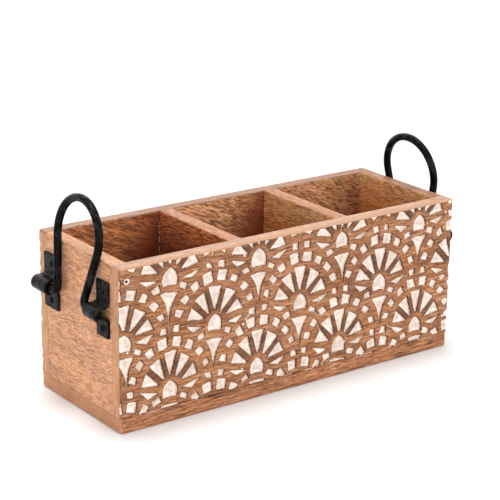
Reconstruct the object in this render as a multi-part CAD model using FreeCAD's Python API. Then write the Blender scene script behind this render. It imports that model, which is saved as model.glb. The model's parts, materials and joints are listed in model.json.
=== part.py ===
import FreeCAD
import Part
import math
import os

# Open-topped wooden utensil caddy with three compartments.
# Seven boards are nailed into a box. The front and the back are carved with rows of fan-shaped scales.
# A bail handle of bent rod hangs at each end, held by two iron straps nailed to the end board.
# Frame: millimetres, origin at the centre of the underside, +X to the right, -Y to the front, +Z up.

# Box
BOX_LENGTH = 282.0
BOX_DEPTH = 102.0
BOX_HEIGHT = 113.0
BASE_THICKNESS = 10.5
WALL_THICKNESS = 10.0
END_THICKNESS = 10.5
DIVIDER_THICKNESS = 10.5
EDGE_ROUND = 1.2
MOUTH_CHAMFER = 0.8

# Carving on the front and the back: the lattice of scales
CARVE_DEPTH = 1.6
SCALE_PITCH = 70.8
ROW_STEP = 38.3
SCALE_SHIFT = 3.2
ROW_BELOW_RIM = 13.0
LEAST_BITE = 0.6

# Carving: the arch at the heart of a scale, measured from the scale's centre
ARCH_BASE_HALF = 4.9
ARCH_SIDE_HALF = 5.3
ARCH_SIDE_HEIGHT = 0.6
ARCH_BOTTOM = -5.2
ARCH_BOTTOM_RISE = 0.7
ARCH_TOP = 6.2

# Carving: the rays, as angle from upright, start, end, narrow end and wide end
RAYS = (
    (0.0, 10.0, 25.2, 2.6, 8.8),
    (31.0, 9.8, 24.6, 1.8, 8.0),
    (63.0, 10.6, 23.6, 1.6, 7.2),
)

# Carving: the side leaves, as corners measured from the scale's centre
LEAF_INNER = (10.8, -1.0)
LEAF_OUTER = (22.4, 1.8)
LEAF_BELOW = (17.3, -2.8)

# Carving: the ring of blocks round the rays, and the pair of chips beside the arch
RING_BLOCKS = 5
RING_RADIUS = 32.6
RING_DRAW_IN = 0.5
RING_FIRST_ANGLE = 9.7
RING_ANGLE_STEP = 19.0
BLOCK_SIZE = 6.4
BLOCK_SHRINK = 0.65
CHIP_ACROSS = 10.6
CHIP_BELOW = 7.0
CHIP_WIDTH = 5.0
CHIP_HEIGHT = 3.4
CHIP_TURN = 20.0

# Carving: the drop under the arch
DROP_TOP = -10.8
DROP_TOP_HALF = 7.0
DROP_TOP_RISE = 0.5
DROP_WAIST_HALF = 2.3
DROP_WAIST = -19.0
DROP_TIP_HALF = 0.4
DROP_TIP = -30.5

# Brads through the front and the back, punched under the carving
BRAD_DIAMETER = 1.5
BRAD_HEAD_DIAMETER = 2.0
BRAD_HEAD_HEIGHT = 0.8
BRAD_LENGTH = 25.0
BRAD_SET = 2.2
BRAD_TOP_BELOW_RIM = 9.5
BRAD_MIDDLE_BELOW_RIM = 57.0
BRAD_LOW_ABOVE_BASE = 13.5

# Nails up through the base
BASE_NAIL_DIAMETER = 2.5
BASE_NAIL_HEAD_DIAMETER = 5.0
BASE_NAIL_HEAD_HEIGHT = 1.0
BASE_NAIL_LENGTH = 30.0
BASE_NAIL_SET = 0.6
BASE_NAIL_SPACING = 24.0

# Straps and their nails
FRONT_STRAP_WIDTH = 14.0
BACK_STRAP_WIDTH = 17.5
FRONT_STRAP_EDGE_GAP = 1.7
BACK_STRAP_EDGE_GAP = 0.05
STRAP_THICKNESS = 2.0
STRAP_BEND = 2.0
STRAP_CORNER = 0.5
UPPER_WING = 15.0
LOWER_WING = 12.6
STRAP_NAIL_DIAMETER = 2.2
STRAP_NAIL_HEAD_DIAMETER = 5.0
STRAP_NAIL_HEAD_HEIGHT = 1.5
STRAP_NAIL_LENGTH = 10.0

# Bail handles
ROD_DIAMETER = 5.6
PIVOT_BELOW_RIM = 32.7
PIVOT_STANDOFF = 7.3
BAIL_ARCH_RISE = 42.3
FOOT_BEND = 4.0
FOOT_RECESS = 2.0
FOOT_CHAMFER = 0.6

# Bail handles, each bent by hand: the arch, and how far from its strap each foot turns up
LEFT_ARCH_RADIUS = 25.3
LEFT_ARCH_FORWARD = 3.8
LEFT_FRONT_FOOT_TO_STRAP = 7.7
LEFT_BACK_FOOT_TO_STRAP = 9.4
RIGHT_ARCH_RADIUS = 25.8
RIGHT_ARCH_FORWARD = 1.6
RIGHT_FRONT_FOOT_TO_STRAP = 7.7
RIGHT_BACK_FOOT_TO_STRAP = 5.5

# Clearances
LOOP_CLEARANCE = 0.3
REST_GAP = 0.3
NAIL_CLEARANCE = 0.05
TIP_CLEARANCE = 0.3
CUT_MARGIN = 1.0

# Places worked out from the sizes above
HALF_LENGTH = BOX_LENGTH / 2
HALF_DEPTH = BOX_DEPTH / 2
INNER_HALF_LENGTH = HALF_LENGTH - END_THICKNESS
INNER_HALF_DEPTH = HALF_DEPTH - WALL_THICKNESS
COMPARTMENT_LENGTH = (2 * INNER_HALF_LENGTH - 2 * DIVIDER_THICKNESS) / 3
COMPARTMENT_STEP = COMPARTMENT_LENGTH + DIVIDER_THICKNESS
DIVIDER_X = COMPARTMENT_STEP / 2
END_X = HALF_LENGTH - END_THICKNESS / 2
WALL_Y = HALF_DEPTH - WALL_THICKNESS / 2
ROD_RADIUS = ROD_DIAMETER / 2
LOOP_INNER = ROD_RADIUS + LOOP_CLEARANCE
LOOP_OUTER = LOOP_INNER + STRAP_THICKNESS
PIVOT_HEIGHT = BOX_HEIGHT - PIVOT_BELOW_RIM
PIVOT_X = HALF_LENGTH + PIVOT_STANDOFF
BRAD_HEIGHTS = (
    BOX_HEIGHT - BRAD_TOP_BELOW_RIM,
    BOX_HEIGHT - BRAD_MIDDLE_BELOW_RIM,
    BASE_THICKNESS + BRAD_LOW_ABOVE_BASE,
)

X_AXIS = FreeCAD.Vector(1, 0, 0)
Y_AXIS = FreeCAD.Vector(0, 1, 0)
Z_AXIS = FreeCAD.Vector(0, 0, 1)
SIDES = {"left": -1, "right": 1}
FACES = {"front": -1, "back": 1}

# Straps and bails by face and by side, as distances from the middle plane
STRAP_WIDTHS = {"front": FRONT_STRAP_WIDTH, "back": BACK_STRAP_WIDTH}
STRAP_OUTER = {
    "front": INNER_HALF_DEPTH - FRONT_STRAP_EDGE_GAP,
    "back": INNER_HALF_DEPTH - BACK_STRAP_EDGE_GAP,
}
STRAP_INNER = {face: STRAP_OUTER[face] - STRAP_WIDTHS[face] for face in FACES}
STRAP_MIDDLE = {face: (STRAP_OUTER[face] + STRAP_INNER[face]) / 2 for face in FACES}
ARCH_RADII = {"left": LEFT_ARCH_RADIUS, "right": RIGHT_ARCH_RADIUS}
ARCH_FORWARD = {"left": LEFT_ARCH_FORWARD, "right": RIGHT_ARCH_FORWARD}
FOOT_CORNERS = {
    ("left", "front"): STRAP_INNER["front"] - LEFT_FRONT_FOOT_TO_STRAP,
    ("left", "back"): STRAP_INNER["back"] - LEFT_BACK_FOOT_TO_STRAP,
    ("right", "front"): STRAP_INNER["front"] - RIGHT_FRONT_FOOT_TO_STRAP,
    ("right", "back"): STRAP_INNER["back"] - RIGHT_BACK_FOOT_TO_STRAP,
}


def vector(x, y, z):
    return FreeCAD.Vector(x, y, z)


def block(x_low, x_high, y_low, y_high, z_low, z_high):
    """A plain board between two corners."""
    return Part.makeBox(x_high - x_low, y_high - y_low, z_high - z_low, vector(x_low, y_low, z_low))


def edges_at(shape, **place):
    """The straight edges that keep the given coordinates along their whole length."""
    found = []
    for edge in shape.Edges:
        ends = [vertex.Point for vertex in edge.Vertexes]
        if all(math.isclose(getattr(end, axis), value) for axis, value in place.items() for end in ends):
            found.append(edge)
    return found


def flare(middle_x):
    """A block that widens upwards at 45 degrees, level with a compartment's mouth at its lower face."""
    signs = [(-1, -1), (1, -1), (1, 1), (-1, 1)]
    rings = []
    for height in (-MOUTH_CHAMFER, MOUTH_CHAMFER):
        half_x = COMPARTMENT_LENGTH / 2 + MOUTH_CHAMFER + height
        half_y = INNER_HALF_DEPTH + MOUTH_CHAMFER + height
        rings.append([vector(middle_x + a * half_x, b * half_y, BOX_HEIGHT + height) for a, b in signs])
    low, high = rings
    loops = [low, high]
    for here in range(len(signs)):
        there = (here + 1) % len(signs)
        loops.append([low[here], low[there], high[there], high[here]])
    faces = [Part.Face(Part.makePolygon(loop + loop[:1])) for loop in loops]
    return Part.Solid(Part.Shell(faces))


def mouths():
    """The chamfers round the three compartments' mouths, as flared blocks that are cut from the boards."""
    return [flare(step * COMPARTMENT_STEP) for step in (-1, 0, 1)]


def outline(points):
    """A closed flat outline through corners given as (across, up)."""
    return Part.makePolygon([vector(x, 0, z) for x, z in points + points[:1]])


def arcs(points):
    """A closed flat outline of arcs, each through three points, given as a list of (across, up)."""
    edges = []
    for first, middle, last in points:
        edges.append(Part.Arc(*(vector(x, 0, z) for x, z in (first, middle, last))).toShape())
    return Part.Wire(edges)


def arch_outline():
    """An egg-shaped arch with a hollow base."""
    foot_left = (-ARCH_BASE_HALF, ARCH_BOTTOM)
    foot_right = (ARCH_BASE_HALF, ARCH_BOTTOM)
    tip = (0, ARCH_TOP)
    return arcs([
        (foot_right, (ARCH_SIDE_HALF, ARCH_SIDE_HEIGHT), tip),
        (tip, (-ARCH_SIDE_HALF, ARCH_SIDE_HEIGHT), foot_left),
        (foot_left, (0, ARCH_BOTTOM + ARCH_BOTTOM_RISE), foot_right),
    ])


def drop_outline():
    """A drop that hangs under the arch, drawn in to a thin point."""
    left = (-DROP_TOP_HALF, DROP_TOP)
    right = (DROP_TOP_HALF, DROP_TOP)
    tip_left = (-DROP_TIP_HALF, DROP_TIP)
    tip_right = (DROP_TIP_HALF, DROP_TIP)
    return arcs([
        (left, (0, DROP_TOP + DROP_TOP_RISE), right),
        (right, (DROP_WAIST_HALF, DROP_WAIST), tip_right),
        (tip_right, (0, DROP_TIP - DROP_TIP_HALF), tip_left),
        (tip_left, (-DROP_WAIST_HALF, DROP_WAIST), left),
    ])


def turned(points, angle, radius):
    """Corners drawn about an upright spoke, moved out along it and turned by an angle from upright."""
    sine = math.sin(math.radians(angle))
    cosine = math.cos(math.radians(angle))
    return [(x * cosine + (z + radius) * sine, (z + radius) * cosine - x * sine) for x, z in points]


def rectangle(width, height):
    """Corners of a rectangle about its middle."""
    return [(a * width / 2, b * height / 2) for a, b in ((-1, -1), (1, -1), (1, 1), (-1, 1))]


def scale_outlines():
    """Every pocket of one scale, as flat outlines about the scale's centre."""
    wires = [arch_outline(), drop_outline()]
    for angle, start, end, narrow, wide in RAYS:
        wedge = [(-narrow / 2, start), (narrow / 2, start), (wide / 2, end), (-wide / 2, end)]
        for turn in sorted({-angle, angle}):
            wires.append(outline(turned(wedge, turn, 0)))
    for mirror in (-1, 1):
        wires.append(outline([(mirror * x, z) for x, z in (LEAF_INNER, LEAF_OUTER, LEAF_BELOW)]))
        for place in range(RING_BLOCKS):
            size = BLOCK_SIZE - place * BLOCK_SHRINK
            angle = mirror * (RING_FIRST_ANGLE + place * RING_ANGLE_STEP)
            wires.append(outline(turned(rectangle(size, size), angle, RING_RADIUS - place * RING_DRAW_IN)))
        chip = turned(rectangle(CHIP_WIDTH, CHIP_HEIGHT), mirror * CHIP_TURN, 0)
        wires.append(outline([(mirror * CHIP_ACROSS + x, z - CHIP_BELOW) for x, z in chip]))
    return wires


def scale_centres():
    """Centres of the scales whose pockets can reach the panel: rows step down, every other row by half."""
    reach = SCALE_PITCH / 2 + BLOCK_SIZE
    first_row = BOX_HEIGHT - ROW_BELOW_RIM
    centres = []
    rows_up = math.ceil(-DROP_TIP / ROW_STEP)
    rows_down = math.ceil((first_row - BASE_THICKNESS + RING_RADIUS) / ROW_STEP)
    columns = math.ceil((HALF_LENGTH + reach + abs(SCALE_SHIFT)) / SCALE_PITCH)
    for row in range(-rows_up, rows_down + 1):
        half_drop = 0 if row % 2 else SCALE_PITCH / 2
        for column in range(-columns, columns + 1):
            centres.append((SCALE_SHIFT + half_drop + column * SCALE_PITCH, first_row - row * ROW_STEP))
    return centres


def pockets(face):
    """The carved pockets of one face, as short prisms. The back's pattern is the front's, turned about Z."""
    prisms = []
    motif = [Part.Face(wire).extrude(vector(0, CUT_MARGIN + CARVE_DEPTH, 0)) for wire in scale_outlines()]
    for x, z in scale_centres():
        for pocket in motif:
            prism = pocket.translated(vector(x, -HALF_DEPTH - CUT_MARGIN, z))
            box = prism.BoundBox
            across = min(box.XMax, HALF_LENGTH) - max(box.XMin, -HALF_LENGTH)
            up = min(box.ZMax, BOX_HEIGHT) - max(box.ZMin, BASE_THICKNESS)
            if min(across, up) > LEAST_BITE:
                prisms.append(prism)
    if face == "back":
        for prism in prisms:
            prism.rotate(vector(0, 0, 0), Z_AXIS, 180)
    return prisms


def brad_places(face, columns):
    """Where brads go in through one face, with the direction that they are driven in."""
    sign = FACES[face]
    return [(vector(x, sign * HALF_DEPTH, z), vector(0, -sign, 0)) for x in columns for z in BRAD_HEIGHTS]


def brad(place, inward):
    """A headed brad, set under the surface."""
    head = Part.makeCylinder(BRAD_HEAD_DIAMETER / 2, BRAD_HEAD_HEIGHT, place + inward * BRAD_SET, inward)
    shank = Part.makeCylinder(BRAD_DIAMETER / 2, BRAD_LENGTH, place + inward * BRAD_SET, inward)
    return head.fuse(shank).removeSplitter()


def brad_hole(place, inward):
    """The hole that a brad leaves, open to the face it was driven through."""
    head_radius = BRAD_HEAD_DIAMETER / 2 + NAIL_CLEARANCE
    shank_radius = BRAD_DIAMETER / 2 + NAIL_CLEARANCE
    mouth = CUT_MARGIN + BRAD_SET + BRAD_HEAD_HEIGHT
    depth = CUT_MARGIN + BRAD_SET + BRAD_LENGTH + TIP_CLEARANCE
    start = place - inward * CUT_MARGIN
    wide = Part.makeCylinder(head_radius, mouth, start, inward)
    return wide.fuse(Part.makeCylinder(shank_radius, depth, start, inward)).removeSplitter()


def base_nail(x, y):
    """A flat-headed nail driven up through the base, its head sunk in the underside."""
    place = vector(x, y, BASE_NAIL_SET)
    head = Part.makeCylinder(BASE_NAIL_HEAD_DIAMETER / 2, BASE_NAIL_HEAD_HEIGHT, place)
    return head.fuse(Part.makeCylinder(BASE_NAIL_DIAMETER / 2, BASE_NAIL_LENGTH, place)).removeSplitter()


def base_nail_hole(x, y):
    """The sunk seat of a base nail's head, and the hole of its shank."""
    head_radius = BASE_NAIL_HEAD_DIAMETER / 2 + NAIL_CLEARANCE
    shank_radius = BASE_NAIL_DIAMETER / 2 + NAIL_CLEARANCE
    start = vector(x, y, -CUT_MARGIN)
    seat = Part.makeCylinder(head_radius, CUT_MARGIN + BASE_NAIL_SET + BASE_NAIL_HEAD_HEIGHT, start)
    length = CUT_MARGIN + BASE_NAIL_SET + BASE_NAIL_LENGTH + TIP_CLEARANCE
    return seat.fuse(Part.makeCylinder(shank_radius, length, start)).removeSplitter()


def strap_nail_places(side):
    """Where the nails of each strap at one end meet the end board: the middle of each flat wing."""
    flat_edge = LOOP_OUTER + STRAP_BEND
    upper = PIVOT_HEIGHT + (flat_edge + LOOP_OUTER + UPPER_WING) / 2
    lower = PIVOT_HEIGHT - (flat_edge + LOOP_OUTER + LOWER_WING) / 2
    x = SIDES[side] * HALF_LENGTH
    return {
        face: [vector(x, sign * STRAP_MIDDLE[face], z) for z in (upper, lower)]
        for face, sign in FACES.items()
    }


def strap_nail(place, outward):
    """A dome-headed nail whose head bears on the strap."""
    seat = place + outward * STRAP_THICKNESS
    head_radius = STRAP_NAIL_HEAD_DIAMETER / 2
    height = STRAP_NAIL_HEAD_HEIGHT
    ball_radius = (head_radius ** 2 + height ** 2) / (2 * height)
    ball = Part.makeSphere(ball_radius, seat + outward * (height - ball_radius), outward)
    head = ball.common(Part.makeCylinder(ball_radius, height, seat, outward))
    shank = Part.makeCylinder(STRAP_NAIL_DIAMETER / 2, STRAP_NAIL_LENGTH, seat, outward * -1)
    return head.fuse(shank).removeSplitter()


def strap_nail_hole(place, outward):
    """The hole for a strap nail, through the strap and into the end board."""
    start = place + outward * (STRAP_THICKNESS + CUT_MARGIN)
    length = CUT_MARGIN + STRAP_NAIL_LENGTH + TIP_CLEARANCE
    return Part.makeCylinder(STRAP_NAIL_DIAMETER / 2 + NAIL_CLEARANCE, length, start, outward * -1)


def base_nail_groups():
    """The base's nails by the boards that they hold, as (x, y) places."""
    half = BASE_NAIL_SPACING / 2
    compartments = [step * COMPARTMENT_STEP for step in (-1, 0, 1)]
    return {
        "base_wall_nails": [(x, sign * WALL_Y) for x in compartments for sign in (-1, 1)],
        "base_end_nails": [(sign * END_X, y) for sign in (-1, 1) for y in (-half, half)],
        "base_divider_nails": [(sign * DIVIDER_X, y) for sign in (-1, 1) for y in (-half, half)],
    }


def brad_groups():
    """The brads by face and by the boards that they hold."""
    groups = {}
    for face in FACES:
        groups[face + "_corner_brads"] = brad_places(face, (-END_X, END_X))
        groups[face + "_divider_brads"] = brad_places(face, (-DIVIDER_X, DIVIDER_X))
    return groups


def nail_holes():
    """Every hole that a brad or a nail makes in the boards."""
    holes = []
    for places in base_nail_groups().values():
        holes += [base_nail_hole(x, y) for x, y in places]
    for places in brad_groups().values():
        holes += [brad_hole(place, inward) for place, inward in places]
    for side, sign in SIDES.items():
        for places in strap_nail_places(side).values():
            holes += [strap_nail_hole(place, X_AXIS * sign) for place in places]
    return holes


def meets(shape, tool):
    """Whether a cutting tool's box reaches into the shape's box."""
    return shape.BoundBox.intersect(tool.BoundBox)


def cut_all(shape, tools):
    """The shape less every tool that reaches it."""
    near = [tool for tool in tools if meets(shape, tool)]
    return shape.cut(near) if near else shape


def base_board():
    """The slab under the walls, with its edges showing all round."""
    board = block(-HALF_LENGTH, HALF_LENGTH, -HALF_DEPTH, HALF_DEPTH, 0, BASE_THICKNESS)
    rounded = edges_at(board, z=0)
    for x in (-HALF_LENGTH, HALF_LENGTH):
        for y in (-HALF_DEPTH, HALF_DEPTH):
            rounded += edges_at(board, x=x, y=y)
    return board.makeFillet(EDGE_ROUND, rounded)


def wall_panel(face):
    """The front or back: full length, rounded at the rim and at its outer corners, then carved."""
    sign = FACES[face]
    outside = sign * HALF_DEPTH
    inside = sign * INNER_HALF_DEPTH
    low, high = sorted((outside, inside))
    board = block(-HALF_LENGTH, HALF_LENGTH, low, high, BASE_THICKNESS, BOX_HEIGHT)
    rounded = edges_at(board, y=outside, z=BOX_HEIGHT)
    for x in (-HALF_LENGTH, HALF_LENGTH):
        rounded += edges_at(board, x=x, y=outside)
        rounded += edges_at(board, x=x, z=BOX_HEIGHT)
    return board.makeFillet(EDGE_ROUND, rounded).cut(pockets(face))


def end_panel(side):
    """The end board, held between the front and the back, rounded along its outer rim."""
    sign = SIDES[side]
    low, high = sorted((sign * HALF_LENGTH, sign * INNER_HALF_LENGTH))
    board = block(low, high, -INNER_HALF_DEPTH, INNER_HALF_DEPTH, BASE_THICKNESS, BOX_HEIGHT)
    return board.makeFillet(EDGE_ROUND, edges_at(board, x=sign * HALF_LENGTH, z=BOX_HEIGHT))


def divider(side):
    """A board between two compartments, flush with the rim."""
    low = SIDES[side] * DIVIDER_X - DIVIDER_THICKNESS / 2
    high = low + DIVIDER_THICKNESS
    return block(low, high, -INNER_HALF_DEPTH, INNER_HALF_DEPTH, BASE_THICKNESS, BOX_HEIGHT)


def strap_profile():
    """A flat strip bent out into a loop between two wings, as a face in the XZ plane at the right end."""
    thick = STRAP_THICKNESS
    bend_outer = STRAP_BEND + thick
    diagonal = math.sqrt(0.5)

    def point(out, up):
        return vector(HALF_LENGTH + out, 0, PIVOT_HEIGHT + up)

    def line(start, end):
        return Part.LineSegment(point(*start), point(*end)).toShape()

    def arc(start, middle, end):
        return Part.Arc(point(*start), point(*middle), point(*end)).toShape()

    def corner(half, radius, out, up):
        """The bend from a wing into the loop's neck, above (up 1) or below (up -1) the pivot."""
        wing = (out, up * (half + radius))
        neck = (out + radius, up * half)
        middle = (out + radius * (1 - diagonal), up * (half + radius * (1 - diagonal)))
        return wing, middle, neck

    top = LOOP_OUTER + UPPER_WING
    bottom = -LOOP_OUTER - LOWER_WING
    low_front = corner(LOOP_OUTER, STRAP_BEND, thick, -1)
    high_front = corner(LOOP_OUTER, STRAP_BEND, thick, 1)
    low_back = corner(LOOP_INNER, bend_outer, 0, -1)
    high_back = corner(LOOP_INNER, bend_outer, 0, 1)
    crown = PIVOT_STANDOFF
    edges = [
        line((0, bottom), (thick, bottom)),
        line((thick, bottom), low_front[0]),
        arc(*low_front),
        line(low_front[2], (crown, -LOOP_OUTER)),
        arc((crown, -LOOP_OUTER), (crown + LOOP_OUTER, 0), (crown, LOOP_OUTER)),
        line((crown, LOOP_OUTER), high_front[2]),
        arc(*reversed(high_front)),
        line(high_front[0], (thick, top)),
        line((thick, top), (0, top)),
        line((0, top), high_back[0]),
        arc(*high_back),
        line(high_back[2], (crown, LOOP_INNER)),
        arc((crown, LOOP_INNER), (crown + LOOP_INNER, 0), (crown, -LOOP_INNER)),
        line((crown, -LOOP_INNER), low_back[2]),
        arc(*reversed(low_back)),
        line(low_back[0], (0, bottom)),
    ]
    return Part.Face(Part.Wire(edges))


def strap(side, face):
    """One strap, with its wings' corners rounded and its two nail holes."""
    width = STRAP_WIDTHS[face]
    shape = strap_profile().extrude(Y_AXIS * width)
    shape.translate(vector(0, -width / 2, 0))
    corners = []
    for y in (-width / 2, width / 2):
        for end in (LOOP_OUTER + UPPER_WING, -LOOP_OUTER - LOWER_WING):
            corners += edges_at(shape, y=y, z=PIVOT_HEIGHT + end)
    shape = shape.makeFillet(STRAP_CORNER, corners)
    if side == "left":
        shape.rotate(vector(0, 0, 0), Z_AXIS, 180)
    shape.translate(vector(0, FACES[face] * STRAP_MIDDLE[face], 0))
    outward = X_AXIS * SIDES[side]
    return cut_all(shape, [strap_nail_hole(place, outward) for place in strap_nail_places(side)[face]])


def bail_lean():
    """The angle by which a bail leans in from upright when its rod comes to rest by the rim's outer edge."""
    across = PIVOT_STANDOFF + EDGE_ROUND
    up = PIVOT_BELOW_RIM - EDGE_ROUND
    touch = ROD_RADIUS + EDGE_ROUND + REST_GAP
    return math.degrees(math.acos(touch / math.hypot(across, up)) - math.atan2(up, across))


def bail_leg(side, face):
    """Key points of one leg of an upright bail, as (across, up) from its pivot, from foot to arch."""
    radius = ARCH_RADII[side]
    corner = FOOT_CORNERS[side, face]
    centre = -FACES[face] * ARCH_FORWARD[side]
    # The leg is the tangent from the foot's corner to the arch.
    away = math.hypot(corner - centre, BAIL_ARCH_RISE)
    spread = math.asin(radius / away) - math.atan2(corner - centre, BAIL_ARCH_RISE)
    # The foot turns into the leg on an arc that touches both.
    half_turn = math.pi / 4 + spread / 2
    tangent = FOOT_BEND * math.tan(half_turn)
    bend_start = (corner + tangent, 0)
    bend_middle_angle = -math.pi / 2 - half_turn
    bend_middle = (
        bend_start[0] + FOOT_BEND * math.cos(bend_middle_angle),
        FOOT_BEND + FOOT_BEND * math.sin(bend_middle_angle),
    )
    bend_end = (corner + tangent * math.sin(spread), tangent * math.cos(spread))
    arch_start = (centre + radius * math.cos(spread), BAIL_ARCH_RISE - radius * math.sin(spread))
    foot_end = (STRAP_OUTER[face] - FOOT_RECESS, 0)
    points = (foot_end, bend_start, bend_middle, bend_end, arch_start)
    return [vector(0, FACES[face] * across, up) for across, up in points]


def bail(side):
    """A rod bent to a horseshoe, its feet turned outwards through the loops, leaning on the rim's edge."""
    legs = {face: bail_leg(side, face) for face in FACES}
    halves = {}
    for face, (foot_end, bend_start, bend_middle, bend_end, arch_start) in legs.items():
        halves[face] = [
            Part.LineSegment(foot_end, bend_start).toShape(),
            Part.Arc(bend_start, bend_middle, bend_end).toShape(),
            Part.LineSegment(bend_end, arch_start).toShape(),
        ]
    apex = vector(0, -ARCH_FORWARD[side], BAIL_ARCH_RISE + ARCH_RADII[side])
    arch = Part.Arc(legs["back"][-1], apex, legs["front"][-1]).toShape()
    path = Part.Wire(halves["back"] + [arch] + halves["front"][::-1])
    section = Part.Wire(Part.makeCircle(ROD_RADIUS, legs["back"][0], Y_AXIS))
    rod = path.makePipeShell([section], True, False)
    rod = rod.makeChamfer(FOOT_CHAMFER, [edge for leg in legs.values() for edge in edges_at(rod, y=leg[0].y)])
    sign = SIDES[side]
    rod.rotate(vector(0, 0, 0), Y_AXIS, -sign * bail_lean())
    rod.translate(vector(sign * PIVOT_X, 0, PIVOT_HEIGHT))
    return rod


def build():
    """Every node by name."""
    flares = mouths()
    holes = nail_holes()
    nodes = {
        "base_board": base_board(),
        "front_panel": wall_panel("front"),
        "back_panel": wall_panel("back"),
        "left_end_panel": end_panel("left"),
        "right_end_panel": end_panel("right"),
        "left_divider": divider("left"),
        "right_divider": divider("right"),
    }
    for name, board in nodes.items():
        nodes[name] = cut_all(board, flares + holes)
    for side, sign in SIDES.items():
        outward = X_AXIS * sign
        for face, places in strap_nail_places(side).items():
            name = side + "_" + face + "_strap"
            nodes[name] = strap(side, face)
            nodes[name + "_nails"] = Part.makeCompound([strap_nail(place, outward) for place in places])
        nodes[side + "_bail_handle"] = bail(side)
    for name, places in brad_groups().items():
        nodes[name] = Part.makeCompound([brad(place, inward) for place, inward in places])
    for name, places in base_nail_groups().items():
        nodes[name] = Part.makeCompound([base_nail(x, y) for x, y in places])
    return nodes


def main():
    os.makedirs("parts", exist_ok=True)
    nodes = build()
    for name, shape in nodes.items():
        shape.exportStep("parts/" + name + ".step")
    print("nodes", len(nodes))
    print("bail lean in degrees", round(bail_lean(), 3))
    print("compartment length", round(COMPARTMENT_LENGTH, 3))


main()
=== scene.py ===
"""Dresses a carved wooden utensil caddy: hand-cut panels with white wash, sanded boards, black ironwork."""

import itertools
import json
import math
from functools import partial

import bmesh
import bpy
import numpy as np
from bpy.props import FloatProperty, FloatVectorProperty, IntProperty, PointerProperty
from mathutils import Matrix, Vector


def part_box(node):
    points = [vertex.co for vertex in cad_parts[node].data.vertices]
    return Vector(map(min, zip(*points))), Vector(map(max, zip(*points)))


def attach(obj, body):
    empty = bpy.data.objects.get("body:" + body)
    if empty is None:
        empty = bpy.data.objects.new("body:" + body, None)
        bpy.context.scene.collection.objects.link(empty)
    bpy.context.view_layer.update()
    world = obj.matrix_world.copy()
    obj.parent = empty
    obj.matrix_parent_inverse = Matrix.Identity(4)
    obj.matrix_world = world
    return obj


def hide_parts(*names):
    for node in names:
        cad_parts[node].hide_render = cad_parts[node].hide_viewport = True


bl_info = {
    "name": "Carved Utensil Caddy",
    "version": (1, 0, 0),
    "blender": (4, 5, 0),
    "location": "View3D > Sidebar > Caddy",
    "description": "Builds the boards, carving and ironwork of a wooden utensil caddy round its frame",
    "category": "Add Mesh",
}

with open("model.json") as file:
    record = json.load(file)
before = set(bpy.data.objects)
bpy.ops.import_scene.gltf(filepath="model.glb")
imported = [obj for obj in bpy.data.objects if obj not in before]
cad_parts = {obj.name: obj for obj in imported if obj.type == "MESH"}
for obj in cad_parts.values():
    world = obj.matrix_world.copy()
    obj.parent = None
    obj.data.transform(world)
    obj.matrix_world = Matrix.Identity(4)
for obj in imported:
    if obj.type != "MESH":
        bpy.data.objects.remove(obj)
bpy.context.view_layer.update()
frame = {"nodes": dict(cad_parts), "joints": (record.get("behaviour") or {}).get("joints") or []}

MM = 0.001
SIDES = {"left": -1, "right": 1}
FACES = {"front": -1, "back": 1}

# The box, read from the frame
HALF_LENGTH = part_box("base_board")[1].x
BASE_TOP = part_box("base_board")[1].z
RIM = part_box("front_panel")[1].z
HALF_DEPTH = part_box("back_panel")[1].y
INNER_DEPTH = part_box("back_panel")[0].y
MOUTHS = (
    (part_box("left_end_panel")[1].x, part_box("left_divider")[0].x),
    (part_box("left_divider")[1].x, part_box("right_divider")[0].x),
    (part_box("right_divider")[1].x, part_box("right_end_panel")[0].x),
)
PIVOT = Vector(next(joint["pos_m"] for joint in frame["joints"] if joint["name"] == "right_bail_swing"))
ROD_RADIUS = PIVOT.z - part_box("right_bail_handle")[0].z

# The motif, measured from the centre of a scale. Rays: angle from upright, start, end, narrow end, wide end
RAYS = (
    (0.0, 10.0 * MM, 25.4 * MM, 1.0 * MM, 9.4 * MM),
    (31.0, 9.8 * MM, 24.2 * MM, 0.8 * MM, 8.4 * MM),
    (63.0, 10.8 * MM, 22.4 * MM, 0.6 * MM, 8.4 * MM),
)
LEAF = ((10.8 * MM, -1.0 * MM), (22.4 * MM, 1.8 * MM), (17.3 * MM, -2.8 * MM))
ARCH_FOOT = (4.6 * MM, -5.1 * MM)
ARCH_SIDE = (5.0 * MM, 0.5 * MM)
ARCH_TOP = (0.0, 6.0 * MM)
ARCH_HOLLOW = (0.0, -4.5 * MM)
DROP_CORNER = (7.0 * MM, -10.8 * MM)
DROP_CROWN = (0.0, -10.3 * MM)
DROP_WAIST = (2.3 * MM, -19.0 * MM)
DROP_TIP = (0.4 * MM, -30.5 * MM)
RING_RADIUS = 32.6 * MM
RING_DRAW_IN = 0.5 * MM
RING_FIRST_ANGLE = 9.7
RING_ANGLE_STEP = 19.0
RING_BLOCKS = (6.4 * MM, 5.0 * MM, 4.6 * MM, 4.2 * MM, 3.9 * MM)
CHIP_PLACE = (10.6 * MM, -7.0 * MM)
CHIP_SIZE = (5.0 * MM, 3.4 * MM)
CHIP_TURN = 20.0

# Nails up through the base, as (x, y): their places come from the frame
BASE_NAIL_RADIUS = 2.5 * MM
BASE_NAIL_COLUMNS = {"base_wall_nails": (-1, 0, 1), "base_end_nails": (-1, 1), "base_divider_nails": (-1, 1)}
BASE_NAILS = [
    (x * (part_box(node)[1].x - BASE_NAIL_RADIUS), y * (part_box(node)[1].y - BASE_NAIL_RADIUS))
    for node, columns in BASE_NAIL_COLUMNS.items() for x in columns for y in (-1, 1)
]
BASE_NAIL_ROOM = 1.08
BASE_NAIL_WALL = 0.5 * MM
BASE_NAIL_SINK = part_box("base_wall_nails")[0].z + 0.25 * MM

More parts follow.
